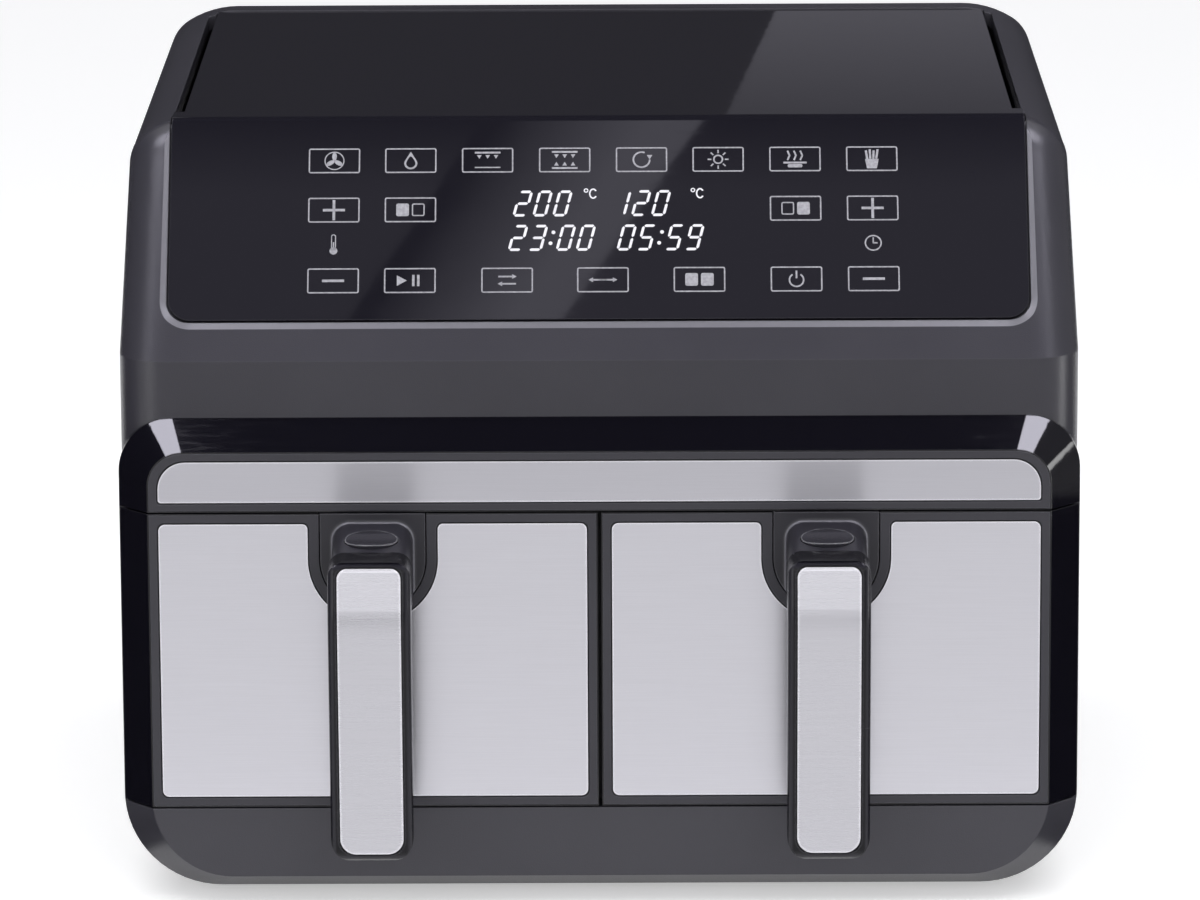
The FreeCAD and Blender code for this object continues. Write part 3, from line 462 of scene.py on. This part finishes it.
def lip_highlight_mask(place):
    """1 on the bevel, where the painted highlight goes: where the depth fits the distance inwards
    from the lip's outline.
    """
    beside = abs(place.along((0, 0, 0), (1, 0, 0))) - (LIP_HALF - LIP_R)
    up = place.along(CREASE, UP_SLOPE)
    below = (LIP_LOW + LIP_R) - up
    x, y = beside.most(0.0), below.most(0.0)
    squares = x * x + y * y
    inside = LIP_R - squares.sums("SQRT", squares) - beside.most(below).least(0.0)
    deep = place.along(CREASE, -OUTWARD)
    on_bevel = abs(deep - inside * (LIP_DEEP / LIP_W)) < LIP_SLACK
    return on_bevel * (inside > LIP_START) * (inside < LIP_W) * (up < LIP_TOP)


def casing_shell():
    material, shader, place, tone = moulded("satin_shell", 56, 0.27, 0.00006, 0.0009, 92, 0.38)
    # Painted highlight: the lip gets a lighter grey than the face.
    feed(shader, {"Base Color": lip_highlight_mask(place).blend(tone, grey(112))})
    return material


satin_shell = casing_shell()
print("lip:", LIP_W, "m wide,", LIP_DEEP, "m deep")

# %% [markdown]
# The visor, the drawer sides and the grips are polished black. Such a surface is never
# quite flat: it has a slow ripple from the mould and a haze of hair-fine wiping marks,
# which show only in its roughness. Its edges get a painted highlight, a lighter grey, and
# on the grips so do the roundings that half face the front.

# %% Polished blacks
RIPPLE_DEEP = 0.00001
COVER_HALF, BEND_FROM = 0.172, 0.303


def polished(name, level, gloss, edge_radius, specular=0.5,
             edge_highlight_level=None, bare=None, ridge_highlight=None):
    """Black gloss whose edges get a painted highlight; bare masks edges that get none, and the
    ridge grey paints a highlight on roundings that half face the front.
    """
    material, shader, place = start(name)
    soft, edge = rounded(place, edge_radius)
    if bare:
        edge = edge * (1 - bare(place))
    ripple = place.noise(55, detail=1.0)
    wiped = place.noise(90, stretch=(1, 1, 9), detail=4.0, rough=0.6)
    # Painted highlight: edges are mixed towards a lighter grey.
    tone = (edge * 0.7).blend(grey(level), grey(edge_highlight_level or level + 16))
    # Roundings that half face the front get a painted highlight of their own grey.
    if ridge_highlight:
        ahead = facing(place)
        half_front_highlight = ahead.spread(0.45, 0.65) * (1 - ahead.spread(0.86, 0.97))
        tone = half_front_highlight.blend(tone, grey(ridge_highlight))
    feed(shader, {
        "Base Color": tone,
        "Roughness": gloss + 0.8 * gloss * wiped.spread(0.45, 0.75) + 0.05 * edge,
        "Normal": bumped(soft, ripple, RIPPLE_DEEP),
        "Specular IOR Level": specular,
    })
    return material


def cover_bend(place):
    """1 along the bend of the cover, where the sheet has no cut edge and gets no painted edge
    highlight.
    """
    inside = abs(place.along((0, 0, 0), (1, 0, 0))) < COVER_HALF
    return inside * (place.along((0, 0, 0), (0, 0, 1)) > BEND_FROM)


# After the edge radius come specular and the grey of the painted edge highlight.
piano_black = polished("piano_black", 16, 0.05, 0.0006)
grip_black = polished("grip_black", 12, 0.16, 0.0012, 0.26, 104, ridge_highlight=34)
smoked_cover = polished("smoked_cover", 27, 0.025, 0.0005, 0.35, 96, cover_bend)
display_glass = polished("display_glass", 12, 0.10, 0.0004)
print("polished:", piano_black.name, grip_black.name, smoked_cover.name, display_glass.name)

# %% [markdown]
# The plates are stainless steel, drawn under a belt so that hair-thin lines run from side
# to side. Noise that is stretched along X and packed tightly along Z draws those lines in
# colour, roughness and bump. The edge mask paints a highlight on their edges, white and
# not metallic, and what looks away from the front is painted dark as the shade in the gap
# round the sheet.

# %% Brushed steel
# The width and grey of the painted edge highlight, and the grey of the painted gap shade.
LINE_DEEP, STEEL_HIGHLIGHT_WIDE = 0.00001, 0.0014
STEEL_HIGHLIGHT_LEVEL, GAP_SHADE_LEVEL = 250, 10


def brushed(name, level, gloss, drawn):
    """Drawn steel; drawn stretches its mirror images across the lines."""
    material, shader, place = start(name)
    edge = rounded(place, STEEL_HIGHLIGHT_WIDE, 0.03)[1]
    # Painted shade: faces that look away from the front are dark, as the gap round the sheet is.
    gap_shade = 1 - facing(place).spread(0.80, 0.93)
    flat = place.add("NewGeometry", {}, {}, out="Normal")
    lines = place.noise(60, stretch=(0.5, 20, 90), detail=4.0, rough=0.62)
    broad = place.noise(9, stretch=(0.3, 1, 6), detail=3.0)
    tone = lines.spread(0.3, 0.7).blend(grey(level * 0.985), grey(level * 1.01))
    # Painted highlight: the edges turn white; painted shade: faces turned from the front turn
    # dark.
    tone = gap_shade.blend(edge.blend(tone, grey(STEEL_HIGHLIGHT_LEVEL)), grey(GAP_SHADE_LEVEL))
    feed(shader, {
        "Base Color": tone,
        "Metallic": (1 - edge) * (1 - gap_shade),
        "Roughness": gloss + 0.12 * (lines - 0.5) + 0.08 * (broad - 0.5),
        "Normal": bumped(flat, lines, LINE_DEEP),
        "Anisotropic": drawn,
        "Anisotropic Rotation": 0.25,
    })
    return material


plate_steel = brushed("plate_steel", 199, 0.32, 0.85)
band_steel = brushed("band_steel", 197, 0.38, 1.0)
inlay_steel = brushed("inlay_steel", 198, 0.28, 0.0)
print("brushed:", plate_steel.name, band_steel.name, inlay_steel.name)

# %% [markdown]
# Inside there are rolled and stamped metals, the dark non-stick coat of pan and basket,
# the oxidised heater tube and the boards. They show when a drawer is pulled out or
# through the air slots, so they get plain but honest finishes of their own.

# %% Inner metals and boards


def sheet_metal(name, level, gloss, spangle, metallic=1.0, tint=(0, 0, 2)):
    """Plain metal with crystals; spangle is how many lie in a metre."""
    material, shader, place = start(name)
    soft, edge = rounded(place, 0.0004)
    flakes = place.add("TexVoronoi", {}, {"Vector": place, "Scale": spangle}, out="Distance")
    dull = place.noise(30, detail=3.0)
    tone = flakes.spread(0.0, 0.8).blend(grey(level * 0.9, tint), grey(level * 1.06, tint))
    feed(shader, {
        # Painted highlight: edges are mixed towards a lighter grey.
        "Base Color": (edge * 0.5).blend(tone, grey(min(level * 1.2, 250), tint)),
        "Metallic": metallic,
        "Roughness": gloss + 0.15 * (dull - 0.5) + 0.05 * flakes,
        "Normal": bumped(soft, dull, 0.00005),
    })
    return material


liner_sheet = sheet_metal("liner_sheet", 176, 0.38, 260)
stamped_fan = sheet_metal("stamped_fan", 196, 0.34, 500)
zinc_steel = sheet_metal("zinc_steel", 190, 0.30, 900)
oxide_tube = sheet_metal("oxide_tube", 78, 0.48, 700, 0.8, (5, 0, -4))
motor_enamel = sheet_metal("motor_enamel", 92, 0.45, 300, 0.2)


def nonstick_coat():
    material, shader, place = start("nonstick_coat")
    soft, edge = rounded(place, 0.0008)
    speck = place.noise(1300, detail=2.0).spread(0.60, 0.70)
    skin = place.noise(420, detail=2.0)
    tone = (speck * 0.5).blend(grey(44), grey(92))
    feed(shader, {
        # Painted highlight: edges are mixed towards a lighter grey.
        "Base Color": (edge * 0.4).blend(tone, grey(84)),
        "Roughness": 0.46 + 0.12 * (skin - 0.5),
        "Normal": bumped(soft, skin, 0.00006),
    })
    return material


def circuit_board():
    material, shader, place = start("circuit_board")
    slant = 0.785
    turned = place.add("Mapping", {}, {"Vector": place, "Rotation": (0, 0, slant)})
    looks = {"Vector": turned, "Scale": 190.0, "Mortar Size": 0.03}
    tracks = place.add("TexBrick", {}, looks, out="Fac")
    tone = tracks.blend((0.012, 0.075, 0.03, 1), (0.03, 0.16, 0.06, 1))
    feed(shader, {"Base Color": tone, "Roughness": 0.32 + 0.2 * tracks,
                  "Normal": bumped(rounded(place, 0.0003)[0], tracks, 0.00004)})
    return material


coat, board = nonstick_coat(), circuit_board()
print("inside:", [m.name for m in (liner_sheet, stamped_fan, zinc_steel, oxide_tube, coat, board)])

# %% [markdown]
# Each CAD node takes one of these finishes. The names with a side come in pairs, so one
# line serves the left and the right piece.

# %% Dress the CAD nodes
FINISHES = [
    (satin_shell, "upper_casing", ""),
    (satin_lower, "lower_casing", ""),
    (satin_bezel, "band_frame", "front_bezel"),
    (satin_bracket, "", "handle_bracket"),
    (piano_black, "visor_trim", "drawer_front"),
    (grip_black, "", "handle_grip"),
    (smoked_cover, "control_cover", ""),
    (display_glass, "display_module", ""),
    (plate_steel, "", "steel_plate"),
    (band_steel, "steel_band", ""),
    (inlay_steel, "", "handle_inlay"),
    (button_skin, "", "release_button"),
    (matt_inner, "base_plate rear_cover front_frame cord_gland drawer_sensors", ""),
    (rubber, "rubber_feet", ""),
    (liner_sheet, "", "chamber fan_guard motor_bracket"),
    (oxide_tube, "", "heater"),
    (stamped_fan, "", "hot_fan cooling_fan"),
    (coat, "", "pan basket crisper_plate"),
    (zinc_steel, "casing_screws", "handle_screws motor_shaft button_spring temperature_probe"),
    (motor_enamel, "", "motor"),
    (board, "control_board power_board", ""),
]
dressed = 0
for material, single, sided in FINISHES:
    names = single.split() + [s + n for n in sided.split() for s in ("left_", "right_")]
    for name in names:
        mesh = nodes[name].data
        mesh.materials.clear()
        mesh.materials.append(material)
        dressed += 1
print("dressed nodes:", dressed, "of", len(nodes))

# %% [markdown]
# Under each release button sits a bowed leaf of spring steel, which flattens while the
# button goes down. So a copy of the CAD leaf takes its place: its loose triangles are
# merged, and its free height along the way of the press is worked out.

# %% Leaf springs under the buttons
PRESS = Vector((0, 0.173648, -0.984808))
TRAVEL, PLAY = 0.0035, 0.0001
SAME_PLACE = 0.000001


def leaf_spring(side):
    """Puts a merged copy in the place of a CAD leaf, and returns its free height."""
    solid = nodes[side + "_button_spring"]
    leaf = bpy.data.objects.new(side + "_button_leaf", solid.data.copy())
    scene.collection.objects.link(leaf)
    bpy.ops.object.select_all(action="DESELECT")
    leaf.select_set(True)
    bpy.context.view_layer.objects.active = leaf
    bpy.ops.object.mode_set(mode="EDIT")
    bpy.ops.mesh.select_all(action="SELECT")
    bpy.ops.mesh.remove_doubles(threshold=SAME_PLACE)
    bpy.ops.object.mode_set(mode="OBJECT")
    depth = [corner.co.dot(PRESS) for corner in leaf.data.vertices]
    height = max(depth) - min(depth)
    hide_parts(solid.name)
    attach(leaf, side + "_drawer")
    1 - (TRAVEL + PLAY) / height
    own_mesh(leaf)
    return height


for side in ("left", "right"):
    print(side, "leaf spring, free height:", round(leaf_spring(side), 5))

# %% [markdown]
# The panel is printed on the smoked cover: frames for the touch keys, a sign in each, and
# lit digits behind it. A maker screens the ink on flat; so the marks are drawn flat here,
# in millimetres, X across and Y up the slope, and laid on the cover as one sheet later.
# Each mark starts as a plane or a circle and is shaped with edit-mode tools.

# %% Tools for flat marks


def edit_new(turn, x, y):
    """Turns and moves the new mark, still in edit mode, and hands it back."""
    bpy.ops.mesh.select_all(action="SELECT")
    bpy.ops.transform.rotate(value=-math.radians(turn), orient_axis="Z", center_override=(0, 0, 0))
    bpy.ops.transform.translate(value=(x, y, 0))
    bpy.ops.object.mode_set(mode="OBJECT")
    return bpy.context.object


def bar(wide, high, x=0.0, y=0.0, turn=0.0, corner=0.0):
    """A rectangle; corner rounds it."""
    bpy.ops.object.select_all(action="DESELECT")
    bpy.ops.mesh.primitive_plane_add(size=1)
    bpy.ops.object.mode_set(mode="EDIT")
    bpy.ops.transform.resize(value=(wide, high, 1))
    if corner:
        bpy.ops.mesh.bevel(offset=corner, offset_type="OFFSET", segments=4, affect="VERTICES")
    return edit_new(turn, x, y)


def disc(wide, high, x=0.0, y=0.0, turn=0.0, corners=32):
    """A filled ellipse, or a polygon of a few corners."""
    bpy.ops.object.select_all(action="DESELECT")
    bpy.ops.mesh.primitive_circle_add(vertices=corners, radius=0.5, fill_type="NGON")
    bpy.ops.object.mode_set(mode="EDIT")
    bpy.ops.transform.resize(value=(wide, high, 1))
    return edit_new(turn, x, y)


def hollow(mark, stroke, gap=0.0, aim=90.0):
    """Insets a filled mark and drops its middle; gap opens the frame towards aim."""
    bpy.ops.object.select_all(action="DESELECT")
    mark.select_set(True)
    bpy.context.view_layer.objects.active = mark
    bpy.ops.object.mode_set(mode="EDIT")
    bpy.ops.mesh.select_mode(type="FACE")
    bpy.ops.mesh.select_all(action="SELECT")
    bpy.ops.mesh.inset(thickness=stroke)
    bpy.ops.mesh.delete(type="FACE")
    if gap:
        flat = bmesh.from_edit_mesh(mark.data)
        middle = sum((v.co for v in flat.verts), Vector()) / len(flat.verts)
        for face in flat.faces:
            way = face.calc_center_median() - middle
            off = math.degrees(math.atan2(way.y, way.x)) - aim
            face.select = abs((off + 180) % 360 - 180) < gap / 2
        bmesh.update_edit_mesh(mark.data)
        bpy.ops.mesh.delete(type="FACE")
    bpy.ops.object.mode_set(mode="OBJECT")
    return mark


def wedge(size, x=0.0, y=0.0, turn=0.0):
    """A triangle that points up before it is turned."""
    return disc(size, size, x, y, turn, corners=3)


# %% [markdown]
# Marks are joined into one sheet with Join, which keeps the active object and its name. A
# mark that is needed many times is modelled once, copied with its own mesh and moved.

# %% Tools to join and copy marks


def sheet(marks, shift=(0, 0)):
    """Joins marks into one flat sheet and shifts it."""
    bpy.ops.object.select_all(action="DESELECT")
    for mark in marks:
        mark.select_set(True)
    bpy.context.view_layer.objects.active = marks[0]
    if len(marks) > 1:
        bpy.ops.object.join()
    joined = bpy.context.view_layer.objects.active
    joined.data.transform(Matrix.Translation((shift[0], shift[1], 0)))
    return joined


def again(mark, x, y, lean=0.0):
    """A copy with its own mesh, moved and slanted."""
    copy = mark.copy()
    copy.data = mark.data.copy()
    scene.collection.objects.link(copy)
    slant = Matrix.Identity(4)
    slant[0][1] = math.tan(math.radians(lean))
    copy.data.transform(Matrix.Translation((x, y, 0)) @ slant)
    return copy


def drop(mark):
    bpy.data.objects.remove(mark)


# %% [markdown]
# All key frames are the same: a rounded rectangle, inset by its line width, with the
# middle taken out. One is modelled and copied to the places measured on the photograph.

# %% Key frames
KEY_W, KEY_H, KEY_R, KEY_LINE = 21.0, 11.0, 0.9, 0.55
HEAT_X, LEFT_X, RIGHT_X, TIME_X = -107.8, -76.6, 80.4, 111.8
SWAP_X, LINK_X, BOTH_X = -37.1, 1.8, 41.0
PROGRAM_X = (HEAT_X, LEFT_X, -45.2, -13.7, 17.7, 49.0, RIGHT_X, TIME_X)
ROW_PROGRAM, ROW_PLUS, ROW_MARK, ROW_MINUS = 88.65, 66.75, 51.3, 35.5
KEYS = [(x, ROW_PROGRAM) for x in PROGRAM_X]
KEYS += [(x, ROW_PLUS) for x in (HEAT_X, LEFT_X, RIGHT_X, TIME_X)]
KEYS += [(x, ROW_MINUS) for x in (HEAT_X, LEFT_X, SWAP_X, LINK_X, BOTH_X, RIGHT_X, TIME_X)]
one_key = hollow(bar(KEY_W, KEY_H, corner=KEY_R), KEY_LINE)
ink = [again(one_key, x, y) for x, y in KEYS]
drop(one_key)
print("key frames:", len(ink))

# %% [markdown]
# The eight programs get plain cooking signs. The first four are a fan, a flame, heat from
# above and heat from both sides. Where the edit-mode tools end, a mark is shaped by moving
# its corners: the flame's top is drawn to a point that way.

# %% Signs of fan and heat


def fan_sign():
    blades = [disc(1.9, 3.6, 0, 1.9) for _ in range(3)]
    for turn, blade in zip((0, 120, 240), blades):
        blade.data.transform(Matrix.Rotation(math.radians(turn), 4, "Z"))
    return sheet(blades + [hollow(disc(8.2, 8.2), 0.45)])


def flame_sign():
    """A disc whose top is drawn to a point, with a smaller one taken out of it."""
    wide, middle = 5.4, -1.2
    flame = hollow(disc(wide, wide, 0, middle), 0.8)
    for corner in flame.data.vertices:
        if corner.co.y > middle:
            up = (corner.co.y - middle) / (wide / 2)
            corner.co.x *= 1 - 0.75 * up ** 2
            corner.co.y += 2.4 * up ** 2
    return sheet([flame])


def heat_rays(y, turn):
    """Three wedges in a row."""
    return [wedge(2.2, x, y, turn) for x in (-3.4, 0, 3.4)]


def top_sign():
    return sheet([bar(10.5, 0.8, 0, 3.4)] + heat_rays(1.6, 180) + [bar(10.5, 0.5, 0, -3.2)])


def both_sign():
    walls = [bar(10.5, 0.8, 0, 3.6), bar(10.5, 0.8, 0, -3.6)]
    return sheet(walls + heat_rays(1.8, 180) + heat_rays(-1.8, 0))


# %% [markdown]
# The other four are a turning arrow, a sun, steam over a dish and a cup of chips. Each sign
# is drawn round the middle of its key and then shifted to the key's place.

# %% Signs of warming and frying


def turning_sign():
    return sheet([hollow(disc(7.4, 7.4), 0.7, gap=70, aim=30), wedge(2.6, 3.3, 1.2, 180)])


def sun_sign():
    rays = []
    for i in range(8):
        ray = bar(1.5, 0.6, 3.5)
        ray.data.transform(Matrix.Rotation(math.radians(45 * i), 4, "Z"))
        rays.append(ray)
    return sheet([hollow(disc(4.2, 4.2), 0.65)] + rays)


def steam_sign():
    waves = [bar(0.7, 2.4, x, y, turn) for x in (-2.6, 0, 2.6)
             for y, turn in ((2.6, 22), (0.6, -22))]
    return sheet(waves + [bar(9.5, 0.8, 0, -1.6), bar(6.0, 1.5, 0, -3.0, corner=0.6)])


def chips_sign():
    sticks = [bar(0.9, 4.2, x, 1.6 + 0.5 * (i % 2), -4 * x)
              for i, x in enumerate((-2.1, -0.7, 0.7, 2.1))]
    cup = bar(5.6, 4.2, 0, -2.2)
    for corner in cup.data.vertices:
        corner.co.x *= 1.0 if corner.co.y > -2 else 0.72
    return sheet(sticks + [cup])


SIGNS = (fan_sign, flame_sign, top_sign, both_sign, turning_sign, sun_sign, steam_sign, chips_sign)
for x, sign in zip(PROGRAM_X, SIGNS):
    ink.append(sheet([sign()], (x, ROW_PROGRAM)))
print("program signs:", len(SIGNS))

# %% [markdown]
# The other keys set heat and time, choose a drawer, start, pause and switch off. Plus and
# minus are plain bars; the small thermometer and clock between them say what they change.

# %% Control signs


def drawers_sign(filled):
    """Two small boxes side by side; the chosen ones are filled."""
    boxes = []
    for side in (-1, 1):
        box = bar(5.2, 5.6, 3.2 * side, 0, corner=0.8)
        boxes.append(box if side in filled else hollow(box, 0.5))
    return sheet(boxes)


def arrow(x, y, way):
    """A shaft with a wedge at its end, to the right for way 1 and to the left for -1."""
    return [bar(6.0, 0.7, x, y), wedge(2.4, x + 3.4 * way, y, -90 * way)]


def thermometer():
    tube = hollow(bar(2.0, 7.4, 0, 1.0, corner=0.95), 0.4)
    return sheet([tube, disc(3.2, 3.2, 0, -2.6), bar(0.6, 3.6, 0, -0.6)])


def clock():
    return sheet([hollow(disc(7.0, 7.0), 0.55), bar(0.55, 2.6, 0, 1.1), bar(1.9, 0.55, 0.8, 0)])


def power():
    return sheet([hollow(disc(6.4, 6.4, 0, -0.4), 0.65, gap=70), bar(0.7, 3.4, 0, 2.0)])


for x in (HEAT_X, TIME_X):
    ink += [bar(9.0, 1.1, x, ROW_PLUS), bar(1.1, 9.0, x, ROW_PLUS), bar(9.0, 1.1, x, ROW_MINUS)]
ink.append(sheet([drawers_sign((-1,))], (LEFT_X, ROW_PLUS)))
ink.append(sheet([drawers_sign((1,))], (RIGHT_X, ROW_PLUS)))
pause = [wedge(5.4, -2.4, 0, -90), bar(1.0, 5.0, 2.4), bar(1.0, 5.0, 4.4)]
ink.append(sheet(pause, (LEFT_X - 1.0, ROW_MINUS)))
ink.append(sheet(arrow(-0.6, 1.6, 1) + arrow(0.6, -1.6, -1), (SWAP_X, ROW_MINUS)))
ink.append(sheet(arrow(1.4, 0, 1) + arrow(-1.4, 0, -1), (LINK_X, ROW_MINUS)))
ink.append(sheet([drawers_sign((-1, 1))], (BOTH_X, ROW_MINUS)))
ink.append(sheet([power()], (RIGHT_X, ROW_MINUS)))
ink.append(sheet([thermometer()], (HEAT_X, ROW_MARK)))
ink.append(sheet([clock()], (TIME_X, ROW_MARK)))
panel_print = sheet(ink)
panel_print.name = "panel_print"
print("printed faces:", len(panel_print.data.polygons))

# %% [markdown]
# The display is made of seven-segment digits that lean by 14 degrees. One segment is a
# bar with pointed ends; it is copied to the seven places of an eight, and each digit
# keeps only the segments that are lit. The values are plain numbers: two temperatures
# above and two running times below.

# %% Lit digits
DIGIT_W, DIGIT_H, STROKE, LEAN_BY = 4.7, 10.4, 1.1, 14.0
PITCH, COLON, COLON_RISE, JOINT = 8.1, 3.3, 2.4, 0.45
ROW_DEGREES, ROW_TIME, ROW_RING, ROW_UNIT = 69.3, 54.1, 75.0, 73.6
LIT = {"0": "abcdef", "1": "bc", "2": "abged", "3": "abgcd", "5": "afgcd", "9": "abfgcd"}
half, up = DIGIT_W / 2, DIGIT_H / 2
PLACES = {"a": (0, up, 0), "g": (0, 0, 0), "d": (0, -up, 0), "b": (half, up / 2, 90),
          "c": (half, -up / 2, 90), "f": (-half, up / 2, 90), "e": (-half, -up / 2, 90)}


def segment(name):
    """One segment of an eight, in its place round the middle."""
    x, y, turn = PLACES[name]
    length = (DIGIT_W if turn == 0 else DIGIT_H / 2) - JOINT
    piece = bar(length, STROKE, 0, 0)
    bpy.ops.object.mode_set(mode="EDIT")
    bpy.ops.mesh.bevel(offset=STROKE * 0.48, offset_type="OFFSET", segments=1, affect="VERTICES")
    bpy.ops.object.mode_set(mode="OBJECT")
    place = Matrix.Translation((x, y, 0)) @ Matrix.Rotation(math.radians(turn), 4, "Z")
    piece.data.transform(place)
    return piece


def number(text, x, y):
    """A number from the place x of its first digit's middle, with a colon where text has one."""
    marks = []
    for sign in text:
        if sign == ":":
            for rise in (-COLON_RISE, COLON_RISE):
                marks.append(again(colon_dot, x - 2.4 + rise * 0.25, y + rise))
            x += COLON
            continue
        marks += [again(segments[name], x, y, LEAN_BY) for name in LIT[sign]]
        x += PITCH
    return marks


segments = {name: segment(name) for name in PLACES}
colon_dot = disc(1.6, 1.6, corners=16)
lit = number("200", -30.8, ROW_DEGREES) + number("120", 9.4, ROW_DEGREES)
lit += number("23:00", -32.7, ROW_TIME) + number("05:59", 11.5, ROW_TIME)
for x in (-5.0, 38.6):
    lit.append(hollow(disc(1.9, 1.9, x, ROW_RING), 0.42))
    lit.append(hollow(disc(3.4, 4.6, x + 2.9, ROW_UNIT), 0.62, gap=80, aim=0))
for part in list(segments.values()) + [colon_dot]:
    drop(part)
display_digits = sheet(lit)
display_digits.name = "display_digits"
print("lit faces:", len(display_digits.data.polygons))

# %% [markdown]
# Ink has a thickness, so both sheets are extruded by a few hundredths of a millimetre.
# Then a matrix lays them on the cover: millimetres to metres, up the 34 degree slope, and
# 0.6 mm under the casing's face, where the cover lies. The place goes into the mesh.

# %% Lay the panel on the cover
COVER_SINK, INK_ROOT = 0.6, 0.01
PRINT_THICK, LIT_THICK = 0.05, 0.06


def lay_on_cover(flat, thick):
    """Gives a sheet its thickness and moves it, in its mesh, to the leaning cover."""
    bpy.ops.object.select_all(action="DESELECT")
    flat.select_set(True)
    bpy.context.view_layer.objects.active = flat
    bpy.ops.object.mode_set(mode="EDIT")
    bpy.ops.mesh.select_all(action="SELECT")
    bpy.ops.mesh.extrude_region_move(TRANSFORM_OT_translate={"value": (0, 0, thick)})
    bpy.ops.mesh.select_all(action="SELECT")
    bpy.ops.mesh.normals_make_consistent(inside=False)
    bpy.ops.object.mode_set(mode="OBJECT")
    base = CREASE * 1000 - OUTWARD * (COVER_SINK + INK_ROOT)
    columns = (Vector((1, 0, 0)), UP_SLOPE, OUTWARD, base)
    place = Matrix.Identity(4)
    for i, column in enumerate(columns):
        for j in range(3):
            place[j][i] = column[j]
    flat.data.transform(Matrix.Scale(0.001, 4) @ place)
    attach(flat, "casing")


lay_on_cover(panel_print, PRINT_THICK)
lay_on_cover(display_digits, LIT_THICK)
print("panel print, in metres:", [round(c, 4) for c in panel_print.dimensions])

# %% [markdown]
# The ink is a flat silver grey, slightly uneven where the screen laid it thinner. The
# digits are lit from behind: they glow at full white, with a faint fall-off along each
# segment, and need no lamp of their own.

# %% Ink and lit segments


def silver_ink():
    material, shader, place = start("silver_ink")
    thin = place.noise(900, detail=2.0)
    feed(shader, {"Base Color": thin.spread(0.3, 0.7).blend(grey(150), grey(172)),
                  "Roughness": 0.42 + 0.2 * (thin - 0.5), "Specular IOR Level": 0.3})
    return material


def lit_segment():
    material, shader, place = start("lit_segment")
    fall = place.noise(260, detail=1.0)
    feed(shader, {"Base Color": grey(40), "Roughness": 0.4, "Emission Strength": 1.0,
                  "Emission Color": fall.spread(0.2, 0.6).blend(grey(232), grey(250))})
    return material


for piece, material, slot in ((panel_print, silver_ink(), "cover_black"),
                              (display_digits, lit_segment(), "display_black")):
    piece.data.materials.clear()
    piece.data.materials.append(material)
    print(piece.name, "is finished in", material.name)
